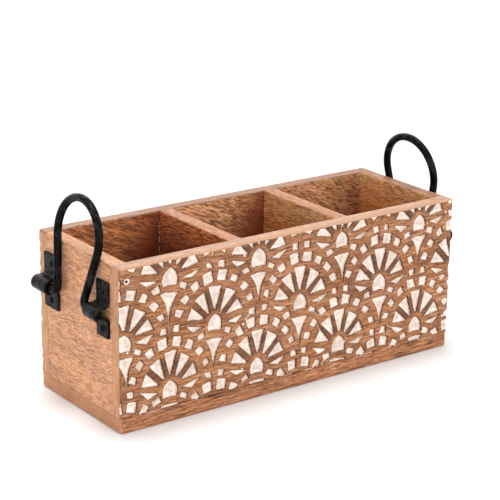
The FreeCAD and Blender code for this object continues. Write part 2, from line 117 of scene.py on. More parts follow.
# Brads through the carved panels. Their dents' radii are a range in millimetres
BRAD_HEAD_RADIUS = 1.0 * MM
BRAD_HEIGHTS = (103.5 * MM, 56.0 * MM, 24.0 * MM)
BRAD_COLUMNS = tuple(
    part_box("front_" + group + "_brads")[1].x - BRAD_HEAD_RADIUS for group in ("corner", "divider")
)
BRAD_STRAY = 0.6 * MM
BRAD_DENTS = (0.9, 1.2)
BRAD_DENT_DEPTH = 0.4 * MM

# The one brad hole that stayed open, in a wider dent. Inside it the wood is as bare as it is some
# millimetres from a cut
OPEN_BRAD = (-BRAD_COLUMNS[0], BRAD_HEIGHTS[0])
OPEN_BRAD_DENT = 2.3 * MM
OPEN_BRAD_HOLE = 1.15 * MM
OPEN_BRAD_WALL = 0.3 * MM
OPEN_BRAD_DEPTH = 1.4 * MM
OPEN_BRAD_CLEAR = 5.0 * MM
OPEN_BRAD_BARE = 0.8

# The carver's hand. A run is the distance over which something waves, and slips are ranges in millimetres
CUT_REACH = 5.0 * MM
LEAST_STEEPNESS = 0.25
EDGE_WOBBLE = 0.16 * MM
EDGE_RUN = 3.0 * MM
DEPTH_SPREAD = 0.15
CURVE_TURN = 2.0
CURVE_GROWTH = 0.045
SLIP_HALF_WIDTHS = (0.25, 0.5)
SLIP_LENGTHS = (2.5, 5.5)
SLIP_NARROWING = 0.6
GOUGE_HEIGHT = 0.2 * MM
GOUGE_RUN = 1.9 * MM
FLOOR_CROWN = 0.3 * MM
FLOOR_CROWN_REACH = 2.2 * MM
SHALLOW_SHARE = 0.45
SHALLOW_REACH = 5.0 * MM
CLEAR_RIM = {"front": 1.4 * MM, "back": 2.4 * MM}
CLEAR_RIM_WOBBLE = 0.4 * MM
CLEAR_RIM_RUN = 6.0 * MM

# Cuts' upper and right sides, where shade is painted, darker ridges between rays, and wash lodged over the
# base
SHADED_SIDE_WAY = (0.6, 0.8)
SHADED_SIDE_SLOPES = (-0.35, 0.65)
FAN_START = (7.5 * MM, 10.5 * MM)
FAN_END = (22.0 * MM, 25.0 * MM)
FAN_SIDES = (58.0, 80.0)
LODGED_HEIGHT = 0.48 * MM
LODGED_DROP = 0.1 * MM
LODGED_RUN = 11.0 * MM
LODGED_REACH = 1.2 * MM

# Sanding of faces and rims, which starts a little way from a joint
FACE_RUN = 14.0 * MM
RIM_RUN = 16.0 * MM
BOARD_RUN = 15.0 * MM
BOARD_RIM_RUN = 12.0 * MM
SANDING_START = 6.0 * MM
SANDING_START_UP = 8.0 * MM

# Meshes: closeness of points that are one, the angle of an edge that stays sharp, the lattice for waves, and
# the steps from a panel's face to its inside, up and along a board, along and across the base
SAME_POINT = 0.001 * MM
SHARP_ANGLE = 35.0
LATTICE = 128
PANEL_STEPS = np.array([0, 0.04, 0.15, 0.35, 0.6, 0.85, 1.0])
BOARD_ROWS = 24
BOARD_COLUMNS = 42
BASE_COLUMNS = 300
BASE_ROWS = 109
BASE_CORNER_STEPS = 7

# Rounding of the straps' edges, and marks of the hammer. The sway, wave and flatness are shares of a size
STRAP_EDGE = 0.35 * MM
HAMMER_DEPTH = 0.07 * MM
HAMMER_RUN = 4.0 * MM
STRAP_SWAY = 0.012
STRAP_SWAY_RUN = 7.0 * MM
NAIL_DENT = 0.16 * MM
NAIL_DENT_RUN = 1.6 * MM
ROD_WAVE = 0.012
ROD_WAVE_RUN = 9.0 * MM
ROD_GIRTH_STEP = 6.0 * MM
ROD_FLATS = 6
ROD_FLATNESS = 0.02

# First seed of each group of pieces
BOARD_SEED = 40
STRAP_SEED = 70
NAIL_SEED = 90
BAIL_SEED = 120

# The stage. Lamps: direction towards the lamp, spread in degrees, strength
FLOOR_HALF = 4.0
ROOM_LIGHT = 0.23
LAMPS = {
    "ceiling": ((0.0, 0.12, 1.0), 25, 2.05),
    "front": ((0.2, -1.0, 0.38), 50, 1.6),
    "left": ((-1.0, -0.8, 0.55), 45, 1.05),
    "back": ((0.3, 1.0, 0.35), 60, 1.1),
}
CAMERA_AZIMUTH = -36.570
CAMERA_ELEVATION = 18.147
CAMERA_ROLL = 0.852
CAMERA_DISTANCE = 1176.249 * MM
CAMERA_TARGET = Vector((-2.229 * MM, 0, 86.409 * MM))
CAMERA_LENS = 121.44


def linear(code):
    """A colour written as an sRGB hex code, as linear red, green and blue."""
    parts = [int(code[start:start + 2], 16) / 255 for start in (1, 3, 5)]
    return tuple(part / 12.92 if part <= 0.04045 else ((part + 0.055) / 1.055) ** 2.4 for part in parts)


class CaddyCarving(bpy.types.PropertyGroup):
    """Sizes of the carving on the front and the back"""

    pitch: FloatProperty(
        name="Pitch", description="Distance between two scales in a row", default=70.8 * MM, unit="LENGTH")
    row_step: FloatProperty(
        name="Row step", description="Height from one row of scales to the next", default=38.3 * MM,
        unit="LENGTH")
    shift: FloatProperty(
        name="Shift", description="How far the pattern lies off the middle", default=3.2 * MM, unit="LENGTH")
    below_rim: FloatProperty(
        name="Below rim", description="From the rim down to the first row's centres", default=13.0 * MM,
        unit="LENGTH")
    depth: FloatProperty(
        name="Depth", description="Depth of the cuts", default=1.9 * MM, unit="LENGTH")
    wall: FloatProperty(
        name="Wall", description="How far a cut's wall leans out from its floor", default=0.45 * MM,
        unit="LENGTH")
    lean_out: FloatProperty(
        name="Lean out", description="How far a cut's edge lies outside the drawing", default=0.52 * MM,
        unit="LENGTH")
    stray: FloatProperty(
        name="Stray", description="How far the carver's corners stray from the drawing", default=0.36 * MM,
        unit="LENGTH")
    slips: FloatProperty(
        name="Slips", description="Share of the cuts where the chisel ran past a corner", default=0.03,
        min=0, max=1, subtype="FACTOR")
    fineness: FloatProperty(
        name="Fineness", description="Spacing of the carved surface's grid", default=0.58 * MM,
        unit="LENGTH")
    seed: IntProperty(name="Seed", description="Picks one set of hand-made irregularities", default=11)


class CaddyBoards(bpy.types.PropertyGroup):
    """Sizes of the boards' worked edges"""

    edge_round: FloatProperty(
        name="Edge round", description="Radius of the outer edges", default=1.5 * MM, unit="LENGTH")
    base_corner: FloatProperty(
        name="Base corner", description="Radius of the base's upright corners", default=2.6 * MM,
        unit="LENGTH")
    mouth_round: FloatProperty(
        name="Mouth round", description="Width of the eased edges round a compartment's mouth",
        default=0.8 * MM, unit="LENGTH")
    joint_ease: FloatProperty(
        name="Joint ease", description="Width of the bevel along a joint between boards", default=0.28 * MM,
        unit="LENGTH")
    sanding: FloatProperty(
        name="Sanding", description="How far hand sanding leaves a face off flat", default=0.12 * MM,
        unit="LENGTH")


class CaddyIron(bpy.types.PropertyGroup):
    """Sizes of the straps, their nails and the bails"""

    strap_thickness: FloatProperty(
        name="Strap thickness", description="Thickness of the iron strip", default=2.0 * MM, unit="LENGTH")
    strap_bend: FloatProperty(
        name="Strap bend", description="Inside radius where a wing turns into the loop", default=2.0 * MM,
        unit="LENGTH")
    strap_corner: FloatProperty(
        name="Strap corner", description="Radius of a wing's corners", default=0.5 * MM, unit="LENGTH")
    nail_head: FloatProperty(
        name="Nail head", description="Diameter of a strap nail's domed head", default=5.0 * MM,
        unit="LENGTH")
    nail_dome: FloatProperty(
        name="Nail dome", description="Height of a strap nail's head", default=1.5 * MM, unit="LENGTH")
    nail_shank: FloatProperty(
        name="Nail shank", description="Diameter of a strap nail's shank", default=2.2 * MM, unit="LENGTH")
    left_bail: FloatVectorProperty(
        name="Left bail", description="Arch's radius, how far forward it lies, front and back foot corner",
        default=(25.3 * MM, 3.8 * MM, 17.6 * MM, 14.05 * MM), size=4, unit="LENGTH")
    right_bail: FloatVectorProperty(
        name="Right bail", description="Arch's radius, how far forward it lies, front and back foot corner",
        default=(25.8 * MM, 1.6 * MM, 17.6 * MM, 17.95 * MM), size=4, unit="LENGTH")
    arch_rise: FloatProperty(
        name="Arch rise", description="Height of the arch's centre over the pivot", default=42.3 * MM,
        unit="LENGTH")
    foot_bend: FloatProperty(
        name="Foot bend", description="Radius of the bend from leg to foot", default=4.0 * MM, unit="LENGTH")
    foot_chamfer: FloatProperty(
        name="Foot chamfer", description="Bevel at the end of a foot", default=0.6 * MM, unit="LENGTH")


class CaddyColours(bpy.types.PropertyGroup):
    """Colours of the finishes"""

    end_wood: FloatVectorProperty(
        name="End wood", description="Sanded wood of the ends", subtype="COLOR", default=linear("#E2A279"))
    face_wood: FloatVectorProperty(
        name="Face wood", description="Wood of the carved faces", subtype="COLOR", default=linear("#9D6540"))
    rim_wood: FloatVectorProperty(
        name="Rim wood", description="Freshly sanded wood of the rims", subtype="COLOR",
        default=linear("#CA9D80"))
    inside_wood: FloatVectorProperty(
        name="Inside wood", description="Rough-sawn wood inside", subtype="COLOR", default=linear("#C27F50"))
    wash: FloatVectorProperty(
        name="Wash", description="White wash in the cuts", subtype="COLOR", default=linear("#FFF1E7"))
    iron: FloatVectorProperty(
        name="Iron", description="Blackened iron", subtype="COLOR", default=linear("#0C0B0B"))


def waves(across, up, run, seed):
    """Smooth random waves between -1 and 1: values drawn on a lattice, eased between its points."""
    table = np.random.default_rng(seed).uniform(-1, 1, (LATTICE, LATTICE))
    across, up = np.broadcast_arrays(np.asarray(across) / run, np.asarray(up) / run)
    column, row = np.floor(across).astype(int), np.floor(up).astype(int)
    right, above = across - column, up - row
    right, above = right * right * (3 - 2 * right), above * above * (3 - 2 * above)

    def value(step_right, step_up):
        return table[(column + step_right) % LATTICE, (row + step_up) % LATTICE]

    low = value(0, 0) * (1 - right) + value(1, 0) * right
    high = value(0, 1) * (1 - right) + value(1, 1) * right
    return low * (1 - above) + high * above


def hollows(across, up, run, seed):
    """Smooth random hollows between 0 and 1."""
    return 0.5 + 0.5 * waves(across, up, run, seed)


def ease(value, low, high):
    """Rises smoothly from 0 to 1 as the value goes from low to high."""
    share = np.clip((value - low) / (high - low), 0, 1)
    return share * share * (3 - 2 * share)


def quarter(count):
    """Equal steps of a quarter turn."""
    return np.linspace(0, math.pi / 2, count)


def round_off(distance, radius):
    """How far a quarter round of that radius lies under the flat, at a distance from the edge."""
    inside = np.clip(radius - distance, 0, radius)
    return radius - np.sqrt(radius ** 2 - inside ** 2)


def edge_steps(radius, count):
    """Distances from an edge that divide its quarter round into equal turns."""
    return radius * (1 - np.cos(quarter(count)))


def grid(x, y, z):
    """Points from x, y and z, each spread over the same grid."""
    return np.stack(np.broadcast_arrays(x, y, z), -1)


def sheet(points, material=0, closed_columns=False, **values):
    """A grid of points as a surface of quads, closed round its columns if wanted.

    It keeps its material's place in the list and any values held at its points."""
    rows, columns = points.shape[:2]
    index = np.arange(rows * columns).reshape(rows, columns)
    if closed_columns:
        index = np.hstack([index, index[:, :1]])
    faces = np.stack([index[:-1, :-1], index[1:, :-1], index[1:, 1:], index[:-1, 1:]], -1)
    return points.reshape(-1, 3), faces.reshape(-1, 4), material, values


def cap(points, material=0):
    """One flat face round a loop of points."""
    return points, np.arange(len(points))[None], material, {}


def make_piece(name, sheets, materials, body, replaced, resting=None):
    """Joins sheets into one closed mesh: same points merged, faces outwards, edges past an angle kept sharp.

    materials are the names of its finishes. resting gives the value that a named attribute has on sheets
    that don't set it."""
    points, faces, places = [], [], []
    held = {key: [] for key in resting or {}}
    start = 0
    for sheet_points, sheet_faces, material, values in sheets:
        points.append(sheet_points)
        faces += (sheet_faces + start).tolist()
        places += [material] * len(sheet_faces)
        for key in held:
            held[key].append(np.ravel(values.get(key, np.full(len(sheet_points), resting[key]))))
        start += len(sheet_points)
    mesh = bpy.data.meshes.new(name)
    mesh.from_pydata(np.concatenate(points).tolist(), [], faces)
    mesh.polygons.foreach_set("material_index", places)
    for key, parts in held.items():
        attribute = mesh.attributes.new(key, "FLOAT", "POINT")
        attribute.data.foreach_set("value", np.concatenate(parts).astype(np.float32))
    work = bmesh.new()
    work.from_mesh(mesh)
    bmesh.ops.remove_doubles(work, verts=work.verts, dist=SAME_POINT)
    bmesh.ops.recalc_face_normals(work, faces=work.faces)
    work.to_mesh(mesh)
    work.free()
    mesh.polygons.foreach_set("use_smooth", [True] * len(mesh.polygons))
    mesh.set_sharp_from_angle(angle=math.radians(SHARP_ANGLE))
    for material in materials:
        mesh.materials.append(finish(material))
    piece = bpy.data.objects.new(name, mesh)
    bpy.context.scene.collection.objects.link(piece)
    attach(piece, body)
    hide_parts(*replaced)


# Carving


def turned(points, angle, radius=0.0):
    """Corners drawn about an upright spoke, moved out along it and turned by an angle from upright."""
    sine, cosine = math.sin(math.radians(angle)), math.cos(math.radians(angle))
    return (np.asarray(points) + (0, radius)) @ np.array([[cosine, -sine], [sine, cosine]])


def rectangle(width, height):
    """Corners of a rectangle about its middle."""
    return [(a * width / 2, b * height / 2) for a, b in ((-1, -1), (1, -1), (1, 1), (-1, 1))]


def straight_cuts():
    """Corners of the straight-sided cuts of one scale: rays, leaves, the ring's blocks and the chips."""
    cuts = []
    for angle, start, end, narrow, wide in RAYS:
        wedge = [(-narrow / 2, start), (narrow / 2, start), (wide / 2, end), (-wide / 2, end)]
        cuts += [turned(wedge, turn) for turn in sorted({-angle, angle})]
    for mirror in (-1, 1):
        cuts.append(np.array(LEAF) * (mirror, 1))
        for place, size in enumerate(RING_BLOCKS):
            angle = mirror * (RING_FIRST_ANGLE + place * RING_ANGLE_STEP)
            cuts.append(turned(rectangle(size, size), angle, RING_RADIUS - place * RING_DRAW_IN))
        chip = turned(rectangle(*CHIP_SIZE), mirror * CHIP_TURN)
        cuts.append(chip + np.array(CHIP_PLACE) * (mirror, 1))
    return cuts


def straight_sided(across, up, corners):
    """Signed distance to a convex outline: the largest distance past its edges' lines, below 0 inside."""
    ahead = np.roll(corners, -1, axis=0)
    winding = np.sign(np.sum(corners[:, 0] * ahead[:, 1] - ahead[:, 0] * corners[:, 1]))
    along = (ahead - corners) * winding
    normals = np.stack([along[:, 1], -along[:, 0]], -1) / np.hypot(*along.T)[:, None]
    reach = np.sum(normals * corners, axis=1)
    right, upward = normals.T[:, :, None, None]
    return np.max(right * across + upward * up - reach[:, None, None], axis=0)


def past_circle(across, up, first, middle, last):
    """Signed distance outside the circle through three points."""
    first, middle, last = (np.array(point) for point in (first, middle, last))
    ways = 2 * np.array([middle - first, last - first])
    centre = np.linalg.solve(ways, [middle @ middle - first @ first, last @ last - first @ first])
    return np.hypot(across - centre[0], up - centre[1]) - np.hypot(*(first - centre))


def mirrored(point):
    """The same point on the other side of a scale's upright line."""
    return -point[0], point[1]


def arch_cut(across, up):
    """Signed distance to the egg-shaped arch: inside both side circles, above the hollow base's circle."""
    side = past_circle(np.abs(across), up, ARCH_FOOT, ARCH_SIDE, ARCH_TOP)
    other_side = past_circle(-np.abs(across), up, ARCH_FOOT, ARCH_SIDE, ARCH_TOP)
    base = past_circle(across, up, mirrored(ARCH_FOOT), ARCH_HOLLOW, ARCH_FOOT)
    return np.max([side, other_side, -base], axis=0)


def drop_cut(across, up):
    """Signed distance to the drop: under the crown's circle, outside both side circles and above the tip."""
    crown = past_circle(across, up, mirrored(DROP_CORNER), DROP_CROWN, DROP_CORNER)
    side = past_circle(np.abs(across), up, DROP_CORNER, DROP_WAIST, DROP_TIP)
    return np.max([crown, -side, DROP_TIP[1] - up], axis=0)


def strayed_curve(x, z, shape, place, turn, size):
    """Signed distance to a curved cut that is moved to a place, turned by an angle and grown by a size."""
    across, up = (x - place[0]) / size, (z - place[1]) / size
    sine, cosine = math.sin(turn), math.cos(turn)
    return size * shape(across * cosine + up * sine, up * cosine - across * sine)


def scale_centres(carving):
    """Centres of the scales that can reach the panel: rows step down, every other one by half a pitch."""
    columns = np.arange(-4, 5) * carving.pitch + carving.shift
    return [
        (x + (carving.pitch / 2 if row % 2 == 0 else 0), RIM - carving.below_rim - row * carving.row_step)
        for row in range(-1, 4) for x in columns
    ]


def strayed_corners(corners, stray, rng):
    """A cut's corners a little off the drawing, each by less than a fourth of its shorter side."""
    sides = np.hypot(*(corners - np.roll(corners, -1, axis=0)).T)
    limit = np.minimum(sides, np.roll(sides, 1))[:, None] / 4
    return corners + np.clip(rng.normal(0, stray, corners.shape), -limit, limit)


def slip(corners, rng):
    """A narrow run of the chisel past one corner of a cut, away from the cut's middle."""
    corner = corners[rng.integers(len(corners))]
    along = corner - corners.mean(0)
    along = along / np.hypot(*along)
    across = np.array([-along[1], along[0]]) * rng.uniform(*SLIP_HALF_WIDTHS) * MM
    start = corner - along * MM
    end = corner + along * rng.uniform(*SLIP_LENGTHS) * MM
    narrow = across * SLIP_NARROWING
    return np.array([start - across, end - narrow, end + narrow, start + across])


def carver_cuts(carving, rng):
    """Every cut of a panel as (distance function, lowest corner, highest corner, lean of its wall, depth).

    Each is a little off the drawing, and none is cut over the open brad. The drops end in a narrow slit, so
    their walls lean out a third as far."""
    cuts = []

    def add_cut(shape, corners, lean_out):
        depth = carving.depth * rng.uniform(1 - DEPTH_SPREAD, 1 + DEPTH_SPREAD)
        cuts.append((shape, corners.min(0), corners.max(0), lean_out, depth))

    arch_box = np.array([mirrored(ARCH_SIDE), ARCH_FOOT, ARCH_TOP, ARCH_SIDE])
    drop_box = np.array([mirrored(DROP_CORNER), DROP_CROWN, DROP_CORNER, DROP_TIP])
    curves = ((arch_cut, arch_box, carving.lean_out), (drop_cut, drop_box, carving.lean_out / 3))
    for centre in scale_centres(carving):
        for corners in straight_cuts():
            strayed = strayed_corners(corners, carving.stray, rng) + centre
            if np.hypot(*(strayed.mean(0) - OPEN_BRAD)) < OPEN_BRAD_CLEAR:
                continue
            outlines = [strayed]
            if rng.uniform() < carving.slips:
                outlines.append(slip(strayed, rng))
            for outline in outlines:
                add_cut(partial(straight_sided, corners=outline), outline, carving.lean_out)
        for shape, box, lean_out in curves:
            turn = math.radians(rng.normal(0, CURVE_TURN))
            size = 1 + rng.normal(0, CURVE_GROWTH)
            place = centre + rng.normal(0, carving.stray / 2, 2)
            curve = partial(strayed_curve, shape=shape, place=place, turn=turn, size=size)
            add_cut(curve, box + centre, lean_out)
    return cuts


def carve(cuts, x_lines, z_lines, x, z, seed):
    """Distance to the nearest cut's edge, and depth of the cut, on a grid.

    The drawing gives a cut's floor, and its edge lies outside that by the wall's lean. Each cut is measured
    only on the part of the grid near it."""
    distance = np.full(x.shape, CUT_REACH)
    depth = np.zeros(x.shape)
    wobble = EDGE_WOBBLE * waves(x, z, EDGE_RUN, seed)
    for shape, low, high, lean_out, own_depth in cuts:
        window = tuple(
            slice(*np.searchsorted(lines, (start - CUT_REACH, end + CUT_REACH)))
            for lines, start, end in zip((x_lines, z_lines), low, high))
        if x[window].size == 0:
            continue
        own = shape(x[window], z[window]) + wobble[window] - lean_out
        distance[window] = np.minimum(distance[window], own)
        depth[window] = np.where(own < 0, own_depth, depth[window])
    return distance, depth


def fan_zone(x, z, carving):
    """1 where a scale's rays stand close together, over their length and their angle, and 0 elsewhere."""
    zone = np.zeros(x.shape)
    for x_at, z_at in scale_centres(carving):
        radius, angle = np.hypot(x - x_at, z - z_at), np.degrees(np.arctan2(x - x_at, z - z_at))
        along = ease(radius, *FAN_START) * (1 - ease(radius, *FAN_END))
        zone = np.maximum(zone, along * (1 - ease(np.abs(angle), *FAN_SIDES)))
    return zone


def slopes(distance, across, up):
    """How fast a distance grows over a grid, along its rows and its columns."""
    ways = enumerate((across, up))
    return [np.gradient(distance, axis=axis) / np.gradient(way, axis=axis) for axis, way in ways]


def crisp(x, z, distance, wall, fineness, fixed):
    """Draws a grid onto the carving: points near a cut's edge, or its wall's foot, move onto that line."""
    slope_x, slope_z = slopes(distance, x, z)
    steepness = np.maximum(slope_x ** 2 + slope_z ** 2, LEAST_STEEPNESS)
    for mark in (0.0, -wall):
        miss = distance - mark
        close = (np.abs(miss) < wall / 2) & ~fixed
        move = np.clip(np.where(close, miss, 0) / steepness, -fineness / 2, fineness / 2)
        x = x - move * slope_x
        z = z - move * slope_z
    return x, z


def panel_lines(boards, carving):
    """Upright and level lines of a panel's grid: even ones, and closer ones where edges round off."""
    steps = edge_steps(boards.edge_round, 5)
    across = HALF_LENGTH - boards.edge_round
    columns = int(round(2 * across / carving.fineness))
    even = np.linspace(-across, across, columns + 1)
    x_lines = np.concatenate([-HALF_LENGTH + steps[:-1], even, HALF_LENGTH - steps[-2::-1]])
    low, high = BASE_TOP + boards.joint_ease, RIM - boards.edge_round
    rows = int(round((high - low) / carving.fineness))
    z_lines = np.concatenate([[BASE_TOP], np.linspace(low, high, rows + 1), RIM - steps[-2::-1]])
    return x_lines, z_lines


def brad_marks(x, z, distance, depth, rng):
    """Adds the marks of the brads: washed-over dents, and an open hole in a wider washed dent."""
    hole = np.zeros(x.shape)
    columns = [sign * column for column in BRAD_COLUMNS for sign in (-1, 1)]
    for x_at, z_at in itertools.product(columns, BRAD_HEIGHTS):
        is_open = (x_at, z_at) == OPEN_BRAD
        off = np.zeros(2) if is_open else rng.normal(0, BRAD_STRAY, 2)
        away = np.hypot(x - x_at - off[0], z - z_at - off[1])
        own = away - (OPEN_BRAD_DENT if is_open else rng.uniform(*BRAD_DENTS) * MM)
        distance = np.minimum(distance, own)
        depth = np.where(own < 0, np.maximum(depth, BRAD_DENT_DEPTH), depth)
        if is_open:
            hole = ease(OPEN_BRAD_HOLE - away, 0, OPEN_BRAD_WALL)
    return distance, depth, hole


def carved_face(x_lines, z_lines, boards, carving, clear_rim, rng):
    """A front panel's face as x, y and z over a grid, and the values at its points that its finish reads.

    y = -half depth + the outer edges' quarter rounds, or the foot's bevel + sanding + the cuts + the open
    hole. A cut falls over its wall to a floor that the gouge left uneven. The cuts stay clear of the rim by
    the given height, and run out shallow where they meet an edge of the panel."""
    x, level = np.meshgrid(x_lines, z_lines, indexing="ij")
    top = RIM - round_off(HALF_LENGTH - np.abs(x_lines), boards.edge_round)[:, None]
    z = BASE_TOP + (level - BASE_TOP) * ((top - BASE_TOP) / (RIM - BASE_TOP))
    cuts = carver_cuts(carving, rng)
    distance = carve(cuts, x_lines, z_lines, x, z, carving.seed)[0]
    slope_x, slope_z = slopes(distance, x, z)
    # High on each cut's upper and right sides, where the finish paints shade
    shaded_side = ease(SHADED_SIDE_WAY[0] * slope_x + SHADED_SIDE_WAY[1] * slope_z, *SHADED_SIDE_SLOPES)

    # Outer edges round off, and the foot is eased where it meets the base.
    from_side = np.clip(boards.edge_round - (HALF_LENGTH - np.abs(x)), 0, None)
    from_top = np.clip(boards.edge_round - (top - z), 0, None)
    under_round = np.clip(boards.edge_round ** 2 - from_side ** 2 - from_top ** 2, 0, None)
    rounded = boards.edge_round - np.sqrt(under_round)
    foot = np.clip(boards.joint_ease - (z - BASE_TOP), 0, None)
    at_edge = (from_side > 0) | (from_top > 0) | (foot > 0)
    x, z = crisp(x, z, distance, carving.wall, carving.fineness, at_edge)

    # The cuts and the brads' dents
    distance, depth = carve(cuts, x_lines, z_lines, x, z, carving.seed)
    distance, depth, hole = brad_marks(x, z, distance, depth, rng)
    wobble = CLEAR_RIM_WOBBLE * waves(x, 0 * z, CLEAR_RIM_RUN, carving.seed + 6)
    distance = np.maximum(distance, clear_rim + wobble - (RIM - z))
    from_border = np.minimum(HALF_LENGTH - np.abs(x), RIM - z)
    depth = depth * (SHALLOW_SHARE + (1 - SHALLOW_SHARE) * ease(from_border, 0, SHALLOW_REACH))
    gouge = GOUGE_HEIGHT * waves(x, z, GOUGE_RUN, carving.seed + 2)
    gouge = gouge - FLOOR_CROWN * ease(-distance, 0, FLOOR_CROWN_REACH)
    cut = np.clip(-distance / carving.wall, 0, 1) * (depth + gouge)
    sanded = boards.sanding * hollows(x, z, FACE_RUN, carving.seed + 3) * (1 - at_edge)
    y = -HALF_DEPTH + np.maximum(rounded, foot) + sanded + cut + hole * OPEN_BRAD_DEPTH

    # Wash also lodges in the joint over the base, in broken stretches. The open hole is bare, and its fan
    # value paints it dark as the shade inside it.
    above = z - BASE_TOP
    lodged = LODGED_HEIGHT * waves(x, 0 * x, LODGED_RUN, carving.seed + 4) - LODGED_DROP + carving.wall
    distance = np.where(above < LODGED_REACH, np.minimum(distance, above - lodged), distance)
    return x, y, z, {
        "cut": np.where(hole > 0.3, OPEN_BRAD_BARE, distance / MM),
        "fan": fan_zone(x, z, carving) + 2 * hole,
        "shaded_side": shaded_side,
    }


def panel_sheets(boards, carving, clear_rim, rng):
    """A front panel, as sheets: the carved face, the rim, the ends, the foot and the inside.

    The rim carries a short profile along x, from the face's top edge to the eased edges of the mouths. The
    ends and the foot run straight from the face to the inside, which is one flat face."""
    x_lines, z_lines = panel_lines(boards, carving)
    x, y, z, values = carved_face(x_lines, z_lines, boards, carving, clear_rim, rng)
    along = x_lines[:, None]

    def inwards(face_y, inside):
        """Steps from the face's y to the inside."""
        return face_y + PANEL_STEPS * (inside - face_y)

    from_mouth = np.max([np.minimum(along - low, high - along) for low, high in MOUTHS], axis=0)
    mouth = np.clip(from_mouth, 0, boards.mouth_round)
    edge_z = z[:, -1:]
    rim_y = inwards(y[:, -1:], -INNER_DEPTH - mouth)
    crown = 4 * PANEL_STEPS * (1 - PANEL_STEPS) * ease(HALF_LENGTH - np.abs(along), 0, SANDING_START)
    rim_z = edge_z + crown * boards.sanding * waves(along, rim_y, RIM_RUN, carving.seed + 5)
    turn = quarter(4)[1:]
    rim_y = np.hstack([rim_y, -INNER_DEPTH - mouth * (1 - np.sin(turn))])
    rim_z = np.hstack([rim_z, edge_z - mouth * (1 - np.cos(turn))])

    sheets = [sheet(grid(x, y, z), 0, **values), sheet(grid(along, rim_y, rim_z), 1)]
    for column, sign in ((0, -1), (-1, 1)):
        end_y = inwards(y[column][:, None], -INNER_DEPTH)
        sheets.append(sheet(grid(sign * HALF_LENGTH, end_y, z[column][:, None]), 2))
    sheets.append(sheet(grid(along, inwards(y[:, :1], -INNER_DEPTH), BASE_TOP), 2))
    right, left = np.full(len(z_lines) - 1, HALF_LENGTH), np.full(len(z_lines) - 2, -HALF_LENGTH)
    ring_x = np.concatenate([x_lines, right, x_lines[-2::-1], left])
    ring_z = np.concatenate([rim_z[:, -1], z[-1, -2::-1], np.full(len(x_lines) - 1, BASE_TOP), z[0, 1:-1]])
    return sheets + [cap(grid(ring_x, -INNER_DEPTH, ring_z), 3)]


def turned_about(sheets):
    """The same sheets turned half round the upright axis."""
    return [(points * (-1, -1, 1), faces, material, values) for points, faces, material, values in sheets]


# Boards


def board_sheets(low, high, outer, boards, seed):
    """A board across the box, as an outline in x and z carried along y.

    outer is -1 or 1 for an end whose low or high side shows, and 0 for a divider. The outline goes up one
    side, over the rim and down the other, with a quarter round at each edge. Sanding leaves its faces a
    little off flat, and at both ends of the board the outline draws in by the joint's ease."""
    rise = RIM - BASE_TOP
    across = high.x - low.x
    plain = np.linspace(2 * MM, rise - boards.edge_round, BOARD_ROWS)
    heights = np.concatenate([[0, boards.joint_ease], plain])
    turn = quarter(6)

    def half(sign):
        """One side and its quarter round, as distance in from the side and height."""
        radius = boards.edge_round if outer == sign else boards.mouth_round
        side = np.stack([np.where(heights == 0, boards.joint_ease, 0), heights], -1)
        edge = np.stack([radius * (1 - np.cos(turn)), rise - radius * (1 - np.sin(turn))], -1)
        return np.vstack([side, edge])

    left, right = half(-1), half(1) * (-1, 1) + (across, 0)
    outline = np.vstack([left, np.linspace(left[-1], right[-1], 8)[1:-1], right[::-1]])
    even = np.linspace(low.y + boards.mouth_round, high.y - boards.mouth_round, BOARD_COLUMNS)
    ends = [low.y, low.y + boards.joint_ease], [high.y - boards.joint_ease, high.y]
    y = np.concatenate([ends[0], even, ends[1]])[:, None]
    from_joint = np.minimum(y - low.y, high.y - y)
    drawn_in = np.clip(boards.joint_ease - from_joint, 0, None)
    x, z = outline.T
    off_flat = boards.sanding * ease(from_joint, 0, SANDING_START) * ease(z, 0, SANDING_START_UP)
    x = x + np.sign(across / 2 - x) * (drawn_in + off_flat * hollows(y, z, BOARD_RUN, seed))
    z = z - np.where(z > rise - boards.edge_round, drawn_in, 0)
    z = z - np.where(z > rise - MM, off_flat * hollows(y, x, BOARD_RIM_RUN, seed + 1), 0)
    points = grid(low.x + x, y, BASE_TOP + z)

    # Which finish a strip of the outline has: outer or inner side, rim, inner or outer side
    first_rim = len(heights) + 2
    last_rim = len(outline) - len(heights) - 2
    strips = (
        (slice(0, first_rim + 1), 0 if outer == -1 else 2),
        (slice(first_rim, last_rim), 1),
        (slice(last_rim - 1, None), 0 if outer == 1 else 2),
    )
    sheets = [sheet(points[:, strip], material) for strip, material in strips]
    sheets.append(sheet(points[:, [0, -1]], 2))
    return sheets + [cap(points[row], 2) for row in (0, -1)]


def base_half(boards, inset):
    """The base's outline drawn in by an inset, as x and half depth at each x, with rounded corners."""
    turn = quarter(BASE_CORNER_STEPS)
    corner = boards.base_corner - inset
    across, deep = HALF_LENGTH - boards.base_corner, HALF_DEPTH - boards.base_corner
    straight = np.linspace(-across, across, BASE_COLUMNS)[1:-1]
    x = np.concatenate([-across - corner * np.cos(turn), straight, across + corner * np.cos(turn[::-1])])
    rounded = deep + corner * np.sin(turn)
    return x, np.concatenate([rounded, np.full(straight.shape, HALF_DEPTH - inset), rounded[::-1]])


def base_ring(boards, inset, shares):
    """The base's outline drawn in by an inset, as one loop: front, right end, back and left end."""
    x, deep = base_half(boards, inset)
    ends = shares[1:-1] * deep[0]
    ring_x = np.concatenate([x, np.full(ends.shape, x[-1]), x[::-1], np.full(ends.shape, x[0])])
    return ring_x, np.concatenate([-deep, ends, deep[::-1], ends[::-1]])


def nail_distance(x, y):
    """Distance outside the nearest round sinking for a nail in the base."""
    away = np.min([np.hypot(x - x_at, y - y_at) for x_at, y_at in BASE_NAILS], axis=0)
    return away - BASE_NAIL_ROOM * BASE_NAIL_RADIUS


